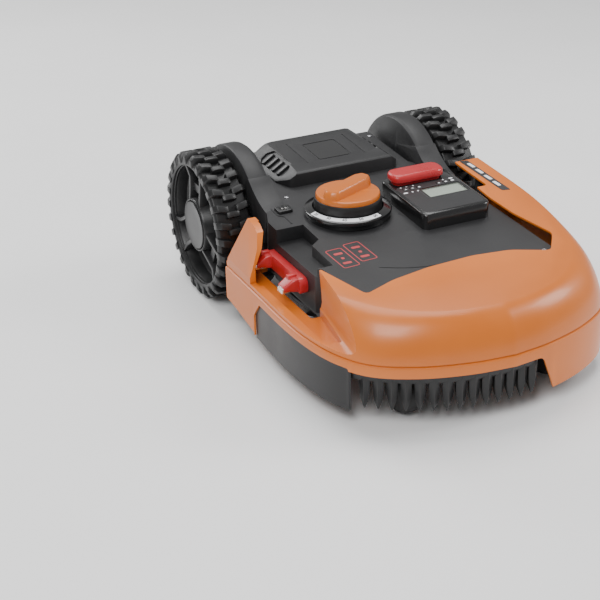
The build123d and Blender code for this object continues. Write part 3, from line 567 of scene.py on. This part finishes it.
def comb_piece():
    """Ploughshare fingers under a curved rail, each with a keel down its front."""
    parts = []
    xs = [(-206 + i * 6.3) for i in range(40)]
    rings = []
    for x in xs:
        y = comb_front(x)
        section = [(0.5, LIP_Z - 0.4), (0.0, 78), (2.5, 72), (9, 72), (11, LIP_Z - 0.4)]
        rings.append([Vector((x, y + d + 0.8, z)) for d, z in section])
    rail = stack("rail", rings)
    fix_normals(rail)
    parts.append(rail)
    x = 40.0
    while x > -200:
        slope = (comb_front(x + 1) - comb_front(x - 1)) / 2
        across = Vector((1, slope, 0)).normalized()
        inward = Vector((-slope, 1, 0)).normalized()
        centre = Vector((x, comb_front(x) + 1.0, 0))
        finger = []
        for z, half, keel, back in FINGER_LEVELS:
            outline = [(-half, 3.2), (-half * 0.35, 0.6), (0, keel), (half * 0.35, 0.6), (half, 3.2)]
            outline += [(half * 0.8, back), (-half * 0.8, back)]
            up = Vector((0, 0, z))
            finger.append([centre + across * a + inward * max(b, keel) + up for a, b in outline])
        piece = stack("finger", finger)
        fix_normals(piece)
        parts.append(piece)
        x -= FINGER_PITCH / math.hypot(1, slope)
    comb = join("grass_comb", parts)
    soften(comb, 0.7, 2, 28)
    place(comb, "shell", BLACK, ["front_comb"], 40)


# ---------------------------------------------------------------- wheels
LUG_COUNT = 27


def wheel_point(x, radius, angle):
    """Point at this radius and angle round the axle."""
    return Vector((x, AXLE_Y + radius * math.cos(angle), AXLE_Z + radius * math.sin(angle)))


def lug(x0, x1, angle, skew, top_w, base_w, base_r, drop0, drop1):
    """One tread block from x0 to x1; drop lowers an end over the tyre's shoulder."""
    rings = []
    near, far = x0 * 0.75 + x1 * 0.25, x0 * 0.25 + x1 * 0.75
    for x, turn, drop in ((x0, 0.0, drop0), (near, 0.25, 0.0), (far, 0.75, 0.0), (x1, 1.0, drop1)):
        a = angle + skew * turn
        high = WHEEL_R - 0.4 - drop
        low = base_r - drop * 0.9
        rings.append([
            wheel_point(x, low, a - base_w / 2 / WHEEL_R),
            wheel_point(x, high, a - top_w / 2 / WHEEL_R),
            wheel_point(x, high, a + top_w / 2 / WHEEL_R),
            wheel_point(x, low, a + base_w / 2 / WHEEL_R),
        ])
    block = stack("lug", rings)
    fix_normals(block)
    return block


def tyre_piece():
    """Tread drum with two staggered rows of angled blocks and small ones between."""
    inner, outer = HALF_WIDTH - WHEEL_W + 0.5, HALF_WIDTH - 0.5
    middle = (inner + outer) / 2
    profile = [(inner + 3, 98), (inner, 102), (inner + 1, 108), (inner + 4, 112)]
    profile += [(outer - 5, 112), (outer - 2, 109), (outer - 1, 104), (outer - 3, 99)]
    parts = [revolve("drum", profile, AXLE, X_AXIS, 112)]
    pitch = 2 * math.pi / LUG_COUNT
    for i in range(LUG_COUNT):
        a = i * pitch
        parts.append(lug(outer, middle + 7, a, pitch * 0.2, 10.5, 15, 109, 7, 0.5))
        parts.append(lug(inner, middle - 7, a, pitch * 0.2, 10.5, 15, 109, 7, 0.5))
        parts.append(lug(middle + 11, middle - 11, a + pitch * 0.5, 0, 9, 13, 109, 1.5, 1.5))
    tyre = join("tyre_tread", parts)
    return soften(tyre, 0.8, 2, 35)


# radius, angle off the middle of the pair, and depths of a spoke's back and front behind the wheel's face
SPOKE_STATIONS = [(42, 0.5, -28, -3), (62, 0.34, -31, -5), (80, 0.27, -31, -6), (99, 0.3, -12, -3)]


def rim_piece():
    """Dished wheel body: bright outer lip, scooped bowl, hub boss and three pairs of spokes."""
    face = HALF_WIDTH - 3
    profile = [(182, 97.8), (face - 5, 97.8), (face - 2, 103), (face - 0.4, 105), (face + 0.4, 103.5)]
    profile += [(face, 101), (face - 5, 99), (face - 12, 96.5), (face - 26, 94), (face - 31, 84)]
    profile += [(face - 32, 60), (face - 29, 48), (face - 4, 44.5), (face - 1.5, 43.5), (face - 1.0, 42)]
    profile += [(face - 2.5, 40.8)]
    profile += [(face - 8, 40.6), (face - 8, 8), (190, 8), (190, 40), (196, 60), (196, 90), (182, 92)]
    body = revolve("rim_body", profile, AXLE, X_AXIS, 128)
    parts = [body]
    for i in range(3):
        mid = math.radians(90 + 120 * i)
        for side in (-1, 1):
            rings = []
            for radius, spread, z0, z1 in SPOKE_STATIONS:
                a = mid + side * spread
                w = 3.2 / radius
                rings.append([
                    wheel_point(face + z0, radius, a - w),
                    wheel_point(face + z1, radius, a - w),
                    wheel_point(face + z1, radius, a + w),
                    wheel_point(face + z0, radius, a + w),
                ])
            spoke = stack("spoke", rings)
            fix_normals(spoke)
            parts.append(spoke)
        # bridge block between the two spokes of a pair
        rings = []
        for radius, half in ((58, 0.34), (72, 0.29)):
            corners = ((-31, -1), (-10, -1), (-10, 1), (-31, 1))
            rings.append([wheel_point(face + z, radius, mid + s * half) for z, s in corners])
        bridge = stack("bridge", rings)
        fix_normals(bridge)
        parts.append(bridge)
    rim = join("rim_body", parts)
    return soften(rim, 0.6, 2, 40)


def cap_piece():
    """Hub disc with a raised rim."""
    profile = [(232, 0.4), (232, 39), (236.2, 39.6), (237.4, 38.4), (237.0, 36.5), (236.6, 34)]
    profile += [(236.9, 20), (237.0, 0.4)]
    return revolve("hub_disc", profile, AXLE, X_AXIS, 96)


def wheels():
    """Tyre, rim and hub disc of both drive wheels."""
    makers = {
        "tyre": (tyre_piece, "tread", TREAD, 38),
        "rim": (rim_piece, "wheel_plastic", WHEEL, 35),
        "hub_cap": (cap_piece, "wheel_plastic", WHEEL, 35),
    }
    for node, (maker, slot, material, angle) in makers.items():
        left = maker()
        right = mirror_copy(left, f"right_{node}_piece")
        left.name = f"left_{node}_piece"
        place(left, "left_wheel", material, [f"left_{node}"], angle)
        place(right, "right_wheel", material, [f"right_{node}"], angle)


# ---------------------------------------------------------------- wheel arches
def arch_piece():
    """Drum beside the wheel with a shallow cone on its inner face and a neck down to the deck."""
    inner, outer, radius = 132.2, 171.0, 122.6
    profile = [(outer, 20), (outer, radius - 6), (outer - 2, radius - 1.5), (outer - 5, radius)]
    profile += [(inner + 12, radius), (inner + 8, radius - 1), (inner + 4, radius - 4)]
    profile += [(inner + 2, radius - 12), (inner, 52), (inner, 20)]
    drum = revolve("drum", profile, AXLE, X_AXIS, 128)
    # curve from the deck up to the drum, in Y and Z
    flare, (start, bend, end) = [], ((90, 183), (126, 189), (157, 216.6))
    for i in range(9):
        t = i / 8
        flare.append(tuple((1 - t) ** 2 * start[k] + 2 * t * (1 - t) * bend[k] + t**2 * end[k] for k in (0, 1)))
    neck_outline = [*flare, (235, 200), (235, 112), (104, 127), (90, 172)]
    neck = prism("neck", neck_outline, side_plane(inner + 1), outer - inner - 2)
    fix_normals(neck)
    arch = combine(drum, neck, "UNION")
    return soften(arch, 0.9, 2, 40)


def arches():
    """Both arches; the right one mirrors the left."""
    left = arch_piece()
    right = mirror_copy(left, "right_arch_piece")
    left.name = "left_arch_piece"
    place(left, "root", DECK, ["left_wheel_arch"], 30)
    place(right, "root", DECK, ["right_wheel_arch"], 30)


# ---------------------------------------------------------------- rear housing
def housing_piece():
    """Battery cover: wedge with a folded top, chamfered flanks and a ribbed grip on each."""
    plan = rounded([(-96, 156), (96, 156), (113, 192), (113, 300), (-113, 300), (-113, 192)], 7)
    body = prism("housing", plan, flat(183), 60)
    fix_normals(body)
    side = [(140, 150), (152, 204), (158, 211.6), (291, 220.2), (298, 213), (303, 150)]
    sides = prism("sides", rounded(side, 5), side_plane(-130), 260)
    fix_normals(sides)
    combine(body, sides, "INTERSECT")
    front = [(-118, 150), (-110, 192), (-78, 216), (-60, 222), (60, 222), (78, 216), (110, 192), (118, 150)]
    fronts = prism("fronts", front, front_plane(330), 220)
    fix_normals(fronts)
    combine(body, fronts, "INTERSECT")
    cut(body, [(-200, 100), (200, 100), (200, 360), (-200, 360)], deck_plane(-40), 40.1)
    flanks = [Plane3((end * 93, 226, 204.7), (0, end, 0), (-end * 32, 0, 24)) for end in (-1, 1)]
    octagon = [(-30, -16), (30, -16), (44, -6), (44, 6), (32, 18), (-32, 18), (-44, 6), (-44, -6)]
    for flank in flanks:
        cut(body, rounded(octagon, 3), flank.lowered(2.6), 14)
    lid = Plane3((0, 222, 215.9), (1, 0, 0), (0, 133, 8.6))
    cut(body, rounded([(-30, -34), (30, -34), (30, 34), (-30, 34)], 6), lid.lowered(1.2), 8)
    for x in (-52, 52):
        cut(body, rectangle(x, 4, 1.6, 86), lid.lowered(1.0), 8)
    soften(body, 1.6, 3, 24)
    place(body, "root", DECK, ["rear_housing"], 30)
    ribs = []
    for flank in flanks:
        for i in range(4):
            a = -34 + 19 * i
            corners = [(a, -12), (a + 8, -12), (a + 12, 13), (a + 4, 13)]
            ribs.append(prism("rib", rounded(corners, 2.5), flank.lowered(2.7), 3.6, 1.2))
    place(soften(join("grip_ribs", ribs), 0.6, 2, 30), "root", BLACK)
    plate_outline = rounded([(-28, -32), (28, -32), (28, 32), (-28, 32)], 5)
    plate = prism("housing_plate", plate_outline, lid.lowered(1.3), 0.9, 0.3)
    place(plate, "root", GLOSS)


# ---------------------------------------------------------------- deck details
def deck_details():
    """Thin raised outlines, seams and screws on the deck."""
    plane = deck_plane(0.0)

    def strip(name, line, width, height, closed=False):
        """Low band that follows a line on the deck."""
        left, right = [], []
        count = len(line)
        for i, p in enumerate(line):
            a = line[i - 1] if (i > 0 or closed) else p
            b = line[(i + 1) % count] if (i < count - 1 or closed) else p
            d = Vector((b[0] - a[0], b[1] - a[1])).normalized()
            n = Vector((-d.y, d.x)) * width / 2
            left.append((p[0] + n.x, p[1] + n.y))
            right.append((p[0] - n.x, p[1] - n.y))
        rings = []
        for one, two in zip(left, right):
            foot, top = -0.3, height
            rings.append([plane.at(*one, foot), plane.at(*one, top), plane.at(*two, top), plane.at(*two, foot)])
        obj = stack(name, rings, closed=closed)
        fix_normals(obj)
        return obj

    recess = catmull([(-96, -140), (-60, -158), (-20, -168), (40, -168), (96, -176), (140, -196)], 40)
    seam = catmull([(14, 2), (18, -6), (21, -12)], 6)
    wave = catmull([(-104, -204), (-60, -186), (0, -174), (60, -184), (110, -204)], 40)
    bands = [strip("recess", recess, 1.6, 0.5), strip("seam", seam, 1.0, 0.3)]
    bands.append(strip("wave", wave, 1.2, 0.5))
    bands.append(strip("edge_left", [(-150, 40), (-150, 66), (-158, 74), (-158, 100)], 2.0, 0.8))
    place(join("deck_lines", bands), "root", BLACK)

    labels, fills = [], []
    turn = 0.05
    for cx, cy in ((-131, -92), (-98, -84)):
        outline = []
        for a, b in rectangle(0, 0, 26, 58, 4, 4):
            x = cx + a * math.cos(turn) - b * math.sin(turn)
            y = cy + a * math.sin(turn) + b * math.cos(turn)
            outline.append((x, y))
        labels.append(strip("label", outline, 1.4, 0.15, closed=True))
        for i in range(3):
            width = 5 if i == 1 else 14
            fills.append(prism("fill", rectangle(cx, cy - 16 + 15 * i, width, 6, 2, 3), plane, 0.15))
    place(join("deck_labels", labels + fills), "root", RED_PRINT)

    screw_head = [(0, 0.3), (1.4, 0.3), (1.4, 1.6), (0.8, 1.8), (0.8, 2.4), (1.6, 2.8), (1.2, 3.6), (0, 3.8)]
    heads = []
    for x, y in ((-118, 128), (118, 128), (150, -196), (-118, 292), (118, 292)):
        heads.append(revolve("head", screw_head, plane.at(x, y, -0.2), plane.n, 24))
    place(join("deck_screws", heads), "root", STEEL)


# ---------------------------------------------------------------- controls
def pod_piece():
    """Glossy control box with a matt panel, the display's outline and small printed marks."""
    outline = rectangle(POD_X, POD_Y, POD_W, POD_L, 13, 8)

    def level(height, wide, long):
        plane = deck_plane(height)
        return [plane.at(80 + (a - 80) * wide, 4 + (b - 4) * long) for a, b in outline]

    walls = [[deck_plane(height).at(a, b) for a, b in outline] for height in (0, POD_H - 2.2)]
    body = stack("pod", [*walls, level(POD_H - 0.6, 0.985, 0.987), level(POD_H, 0.965, 0.970)])
    fix_normals(body)
    cut(body, rectangle(LCD_X, LCD_Y, 67, 31, 1), deck_plane(POD_H - 3), 8)
    for x in KEY_XS:
        cut(body, rectangle(x, KEY_Y, 9, 7, 1.2), deck_plane(POD_H - 5), 10)
    cut(body, rectangle(STOP_X, STOP_Y, 86, 30, 13), deck_plane(POD_H - 12), 17)
    place(body, "root", GLOSS, ["control_pod"], 34)

    panel_outline = rounded([(27, -60), (133, -60), (133, 37), (27, 37)], 9, 6)
    panel = prism("panel", panel_outline, deck_plane(POD_H - 0.2), 0.5, 0.3)
    fix_normals(panel)
    for hole in [rectangle(LCD_X, LCD_Y, 71, 35, 2)] + [rectangle(x, KEY_Y, 9.4, 7.4, 1.4) for x in KEY_XS]:
        cut(panel, hole, deck_plane(POD_H - 3), 6)
    place(panel, "root", PANEL)

    top = deck_plane(POD_H)
    ring_out, ring_in = rectangle(LCD_X, LCD_Y, 78, 38, 6), rectangle(LCD_X, LCD_Y, 76.4, 36.4, 5.2)
    low, high = 0.2, 0.55
    rings = [[top.at(*o, low), top.at(*o, high), top.at(*i, high), top.at(*i, low)] for o, i in zip(ring_out, ring_in)]
    bezel = stack("bezel", rings, closed=True)
    fix_normals(bezel)
    place(bezel, "root", KEY)

    marks = [(34, 14, 7, 3.5), (46, 14, 3, 3), (56, 14, 3, 3), (36, 34, 2.4, 2.4), (46, 34, 3.4, 1.2)]
    marks += [(58, 34, 2.4, 2.4), (112, 33.5, 2.6, 2.6), (126, 33.5, 6.5, 3.5)]
    icons = [prism("icon", rectangle(x, y, w, h, 0.6, 3), deck_plane(POD_H + 0.25), 0.12) for x, y, w, h in marks]
    place(join("pod_icons", icons), "root", PRINT)


KEY_MARKS = {
    "key_up": [(-2, -1), (0, 1.6), (2, -1)],
    "key_down": [(-2, 1), (2, 1), (0, -1.6)],
    "key_ok": [(-1.6, -1.6), (1.6, -1.6), (1.6, 1.6), (-1.6, 1.6)],
    "key_start": [(-1.5, -1.8), (1.9, 0), (-1.5, 1.8)],
    "key_home": [(-2, -1.6), (2, -1.6), (2, 0.3), (0, 1.9), (-2, 0.3)],
    "key_power": [(-2.6, -1.8), (2.6, -1.8), (2.6, 1.8), (-2.6, 1.8)],
}


def key_pieces():
    """Softened key caps with a plain printed mark each."""
    for name, mark in KEY_MARKS.items():
        low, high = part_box(name)
        cx, cy = (low.x + high.x) / 2 / MM, (low.y + high.y) / 2 / MM
        local_y = cy / math.cos(TILT)
        cap = prism(f"{name}_cap", rectangle(cx, local_y, 8, 6, 1.6, 4), deck_plane(POD_H - 4), 5.1)
        fix_normals(cap)
        soften(cap, 0.4, 2, 30)
        place(cap, name, KEY, [name])
        outline = [(cx + a, local_y + b) for a, b in mark]
        print_piece = prism(f"{name}_mark", outline, deck_plane(POD_H + 1.1), 0.09)
        fix_normals(print_piece)
        place(print_piece, name, PRINT)


def stop_piece():
    """Soft-edged red slab on a plunger."""
    height = POD_H + 4.6
    rings = []
    plunger = rectangle(STOP_X, STOP_Y, 82, 26, 12, 8)
    rings.append([deck_plane(POD_H - 7).at(a, b) for a, b in plunger])
    rings.append([deck_plane(height).at(a, b) for a, b in plunger])
    profile = [(0.4, 3.0), (0, 0.6), (1.2, 0), (6.4, 0), (8.6, 0.7), (10.2, 2.0)]
    profile += [(11.2, 3.9), (11.7, 6.5), (11.9, 10), (11.95, 15)]
    for rise, pull in profile:
        outline = rectangle(STOP_X, STOP_Y, STOP_W - 2 * pull, STOP_L - 2 * pull, max(1.5, 17 - pull), 8)
        rings.append([deck_plane(height + rise).at(a, b) for a, b in outline])
    body = stack("stop_slab", rings)
    fix_normals(body)
    place(body, "stop_button", RED, ["stop_button"], 40)


def knob_pieces():
    """Dial ring with its height scale, black collar and orange cap with a grip bar."""
    z = top_z(KNOB_Y, DECK_DROP) + 15  # top of the dial ring
    centre = (KNOB_X, KNOB_Y, 0)
    flange_profile = [(z - 17, 56), (z - 17, 64), (z - 11, 65), (z - 9.5, 67.4), (z - 5, 68)]
    flange_profile += [(z - 3.4, 67.4), (z - 2.6, 66), (z - 0.2, 56.5)]
    flange_profile += [(z, 55.5), (z - 3, 54.4), (z - 9, 54.4), (z - 9, 56)]
    flange = revolve("dial_ring", flange_profile, centre, Z_AXIS, 128)
    place(flange, "root", GLOSS, ["dial_flange"], 34)
    collar_profile = [(z - 7.5, 46), (z - 7.5, 53.2), (z + 8, 53.0), (z + 12, 52.4), (z + 14.6, 51.4)]
    collar_profile += [(z + 15, 50.6), (z + 15, 50.2), (z + 12.6, 50.1), (z + 12.6, 8), (z + 4, 8), (z + 4, 46)]
    collar = revolve("collar", collar_profile, centre, Z_AXIS, 128)
    place(collar, "height_knob", BLACK, ["knob_collar"], 34)

    cap_profile = [(z + 13.1, 0.5), (z + 13.1, 49.8), (z + 19.5, 49.8), (z + 21.6, 48.8), (z + 22.4, 46.5)]
    cap_profile += [(z + 22.6, 40), (z + 22.6, 0.5)]
    cap = revolve("cap", cap_profile, centre, Z_AXIS, 128)
    turn = math.radians(23)
    along, across = (math.cos(turn), math.sin(turn), 0), (-math.sin(turn), math.cos(turn), 0)
    plane = Plane3((KNOB_X, KNOB_Y, z + 20), along, across)
    bar_outline = [(-49, -6), (-41, -16), (34, -16), (47, -9), (47, 9), (34, 16), (-41, 16), (-49, 6)]
    bar_levels = []
    for height, wide, long in ((0, 1.0, 1.0), (5, 0.96, 0.99), (13, 0.86, 0.95), (16, 0.76, 0.9)):
        outline = rounded(bar_outline, 4, 4)
        bar_levels.append([plane.at(a * long, b * wide, height * (1 + 0.1 * a / 47)) for a, b in outline])
    bar = stack("bar", bar_levels)
    fix_normals(bar)
    combine(cap, bar, "UNION")
    soften(cap, 1.2, 3, 28)
    place(cap, "height_knob", ORANGE, ["height_knob"], 34)

    # printed arc on the slope of the dial ring, with height marks in millimetres
    arc_section = ((57, -0.4), (57, 0.2), (65, -1.6), (65, -2.4))
    steps = 60
    rings = []
    for i in range(steps + 1):
        a = math.radians(182 + 112 * i / steps)
        x, y = math.cos(a), math.sin(a)
        rings.append([Vector((KNOB_X + r * x, KNOB_Y + r * y, z + h)) for r, h in arc_section])
    arc = stack("arc", rings)
    fix_normals(arc)
    place(arc, "root", PRINT, ["dial_scale"])
    marks = []
    for i, label in enumerate(("20", "30", "40", "50", "60")):
        a = math.radians(190 + 24 * i)
        curve = bpy.data.curves.new(f"mark_{label}", "FONT")
        curve.body, curve.size, curve.extrude = label, 7.6 * MM, 0.25 * MM
        curve.align_x, curve.align_y = "CENTER", "CENTER"
        text = bpy.data.objects.new(f"mark_{label}", curve)
        bpy.context.scene.collection.objects.link(text)
        spot = Vector((KNOB_X + 61 * math.cos(a), KNOB_Y + 61 * math.sin(a), z - 0.55)) * MM
        bpy.context.view_layer.update()
        mesh = bpy.data.meshes.new_from_object(text.evaluated_get(bpy.context.evaluated_depsgraph_get()))
        lean = Matrix.Rotation(a + math.pi / 2, 4, "Z") @ Matrix.Rotation(math.radians(12.7), 4, "X")
        mesh.transform(Matrix.Translation(spot) @ lean)
        bpy.data.objects.remove(text)
        piece = bpy.data.objects.new("height_mark", mesh)
        bpy.context.scene.collection.objects.link(piece)
        marks.append(piece)
    place(join("height_marks", marks), "root", DARK_PRINT)


# X, half width, underside and top of a contact arm, from its root to its end
ARM_STATIONS = [(-190, 14, 123, 143), (-196, 13.5, 124, 145), (-203, 12.5, 125, 144)]
ARM_STATIONS += [(-208, 11, 126, 140), (-217, 10.5, 126, 134)]


def contact_pieces():
    """Red bar with two hooded arms; a plated blade stands out of each."""
    parts = []
    bar_outline = [(-80, 122), (48, 122), (48, 138), (42, 145), (-74, 145), (-80, 138)]
    bar = prism("bar", rounded(bar_outline, 5), side_plane(-194), 12.8)
    fix_normals(bar)
    parts.append(bar)
    blades = []
    for y in CONTACT_YS:
        levels = []
        for x, half, low, high in ARM_STATIONS:
            outline = rounded([(y - half, low), (y + half, low), (y + half, high), (y - half, high)], 3, 3)
            levels.append([Vector((x, a, b)) for a, b in outline])
        arm = stack("arm", levels)
        fix_normals(arm)
        parts.append(arm)
        fin_outline = [(y - 3, 138), (y + 9, 138), (y + 7, 148), (y - 1, 148)]
        fin = prism("fin", rounded(fin_outline, 2, 3), side_plane(-206), 14)
        fix_normals(fin)
        parts.append(fin)
        blade_outline = [(-220.6, y - 10), (-206, y - 10), (-206, y + 7), (-220.6, y + 7)]
        blade = prism("blade", rounded(blade_outline, 2, 3), flat(125), 7.0, 0.8)
        fix_normals(blade)
        blades.append(blade)
    place(soften(join("contact_bar", parts), 0.8, 2, 30), "root", RED, ["contact_block"])
    tips = soften(join("contact_blades", blades), 0.4, 2, 30)
    place(tips, "root", SILVER, ["contact_tips"])


def rain_sensor_piece():
    """Low pad with a dished seat round the two pins."""
    plane = deck_plane(0)
    outline = rounded([(-155, 76), (-130, 76), (-130, 97), (-155, 97)], 4)
    pad = stack("pad", [
        [plane.at(a, b) for a, b in outline],
        [plane.at(-142.5 + (a + 142.5) * 0.94, 86.5 + (b - 86.5) * 0.94, 4.2) for a, b in outline],
        [plane.at(-142.5 + (a + 142.5) * 0.80, 86.5 + (b - 86.5) * 0.80, 5.0) for a, b in outline],
    ])
    fix_normals(pad)
    dish_profile = [(2.0, 0.3), (2.6, 5), (5.2, 8), (8, 8), (8, 0.3)]
    dish = revolve("dish", dish_profile, plane.at(-142, 86.2, 0), plane.n, 48)
    combine(pad, dish)
    place(soften(pad, 0.5, 2, 30), "root", BLACK, ["rain_sensor"])


# ---------------------------------------------------------------- carried-over CAD nodes
FINISHES = {
    "black_plastic": BLACK,
    "deck_plastic": DECK,
    "gloss_black": GLOSS,
    "orange_plastic": ORANGE,
    "red_plastic": RED,
    "wheel_plastic": WHEEL,
    "tread": TREAD,
    "caster_rubber": RUBBER,
    "contact_metal": SILVER,
    "steel": STEEL,
    "motor_metal": CAN,
    "display_glass": WINDOW,
    "display_body": SCREEN,
    "key_cap": KEY,
    "scale_print": PRINT,
    "circuit_board": BOARD,
    "battery_case": BLACK,
    "mount_rubber": RUBBER,
}
SOFT_EDGES = {"upper_deck": 1.2, "edge_flap": 0.8, "chassis_pan": 1.0, "blade_disc": 0.6}


def finish_cad_nodes():
    """Materials for every CAD node, and softened edges for some."""
    slots = {part["node"]: part["material_slot"] for part in frame["record"]["subparts"]}
    for name, obj in nodes.items():
        obj.data.materials.clear()
        obj.data.materials.append(FINISHES[slots[name]])
        if name in SOFT_EDGES:
            modifier = obj.modifiers.new("soften", "BEVEL")
            modifier.width, modifier.segments = SOFT_EDGES[name] * MM, 2
            modifier.limit_method, modifier.angle_limit = "ANGLE", math.radians(35)


# ---------------------------------------------------------------- scene
def studio():
    """Pale floor, even sky light and four large lamps."""
    far = 6000
    floor = make_object("floor", [(-far, -far, 0), (far, -far, 0), (far, far, 0), (-far, far, 0)], [(0, 1, 2, 3)])
    light, dark = (0.92, 0.92, 0.92), (0.90, 0.90, 0.90)
    material = surface("floor_paint", light, dark, 0.6, grain=40, grain_depth=0.02, patch=2)
    floor.data.materials.append(material)

    world = bpy.data.worlds.new("studio")
    world.use_nodes = True
    world.node_tree.nodes["Background"].inputs["Color"].default_value = (1.0, 1.0, 1.0, 1)
    world.node_tree.nodes["Background"].inputs["Strength"].default_value = 0.42
    bpy.context.scene.world = world

    lamps = [
        ("key", (-1.5, -1.5, 2.4), 1.3, 62.0),
        ("side", (2.2, -0.8, 1.7), 1.0, 34.0),
        ("top", (0.3, 0.8, 2.6), 1.8, 46.0),
        ("back", (-0.8, 2.4, 1.5), 1.2, 30.0),
    ]
    for name, spot, size, power in lamps:
        light = bpy.data.lights.new(name, "AREA")
        light.size, light.energy = size, power
        lamp = bpy.data.objects.new(name, light)
        lamp.location = spot
        lamp.rotation_euler = (Vector((0, 0, 0.1)) - Vector(spot)).to_track_quat("-Z", "Y").to_euler()
        bpy.context.scene.collection.objects.link(lamp)


def camera():
    """Three-quarter view from the right front, slightly rolled."""
    azimuth, elevation, roll = math.radians(-24.96), math.radians(26.34), math.radians(-1.37)
    level = math.cos(elevation)
    back = Vector((math.sin(azimuth) * level, -math.cos(azimuth) * level, math.sin(elevation)))
    right = (-back).cross(Vector((0, 0, 1))).normalized()
    up = right.cross(-back)
    right, up = right * math.cos(roll) + up * math.sin(roll), up * math.cos(roll) - right * math.sin(roll)
    data = bpy.data.cameras.new("camera")
    data.sensor_width, data.lens = 36.0, 84.04
    cam = bpy.data.objects.new("camera", data)
    matrix = Matrix((right, up, back)).transposed().to_4x4()
    matrix.translation = Vector((-0.97128, -1.74708, 1.02416))
    cam.matrix_world = matrix
    bpy.context.scene.collection.objects.link(cam)
    bpy.context.scene.camera = cam


finish_cad_nodes()
shell_piece()
wing_label()
comb_piece()
wheels()
arches()
housing_piece()
deck_details()
pod_piece()
key_pieces()
stop_piece()
knob_pieces()
contact_pieces()
rain_sensor_piece()
studio()
camera()
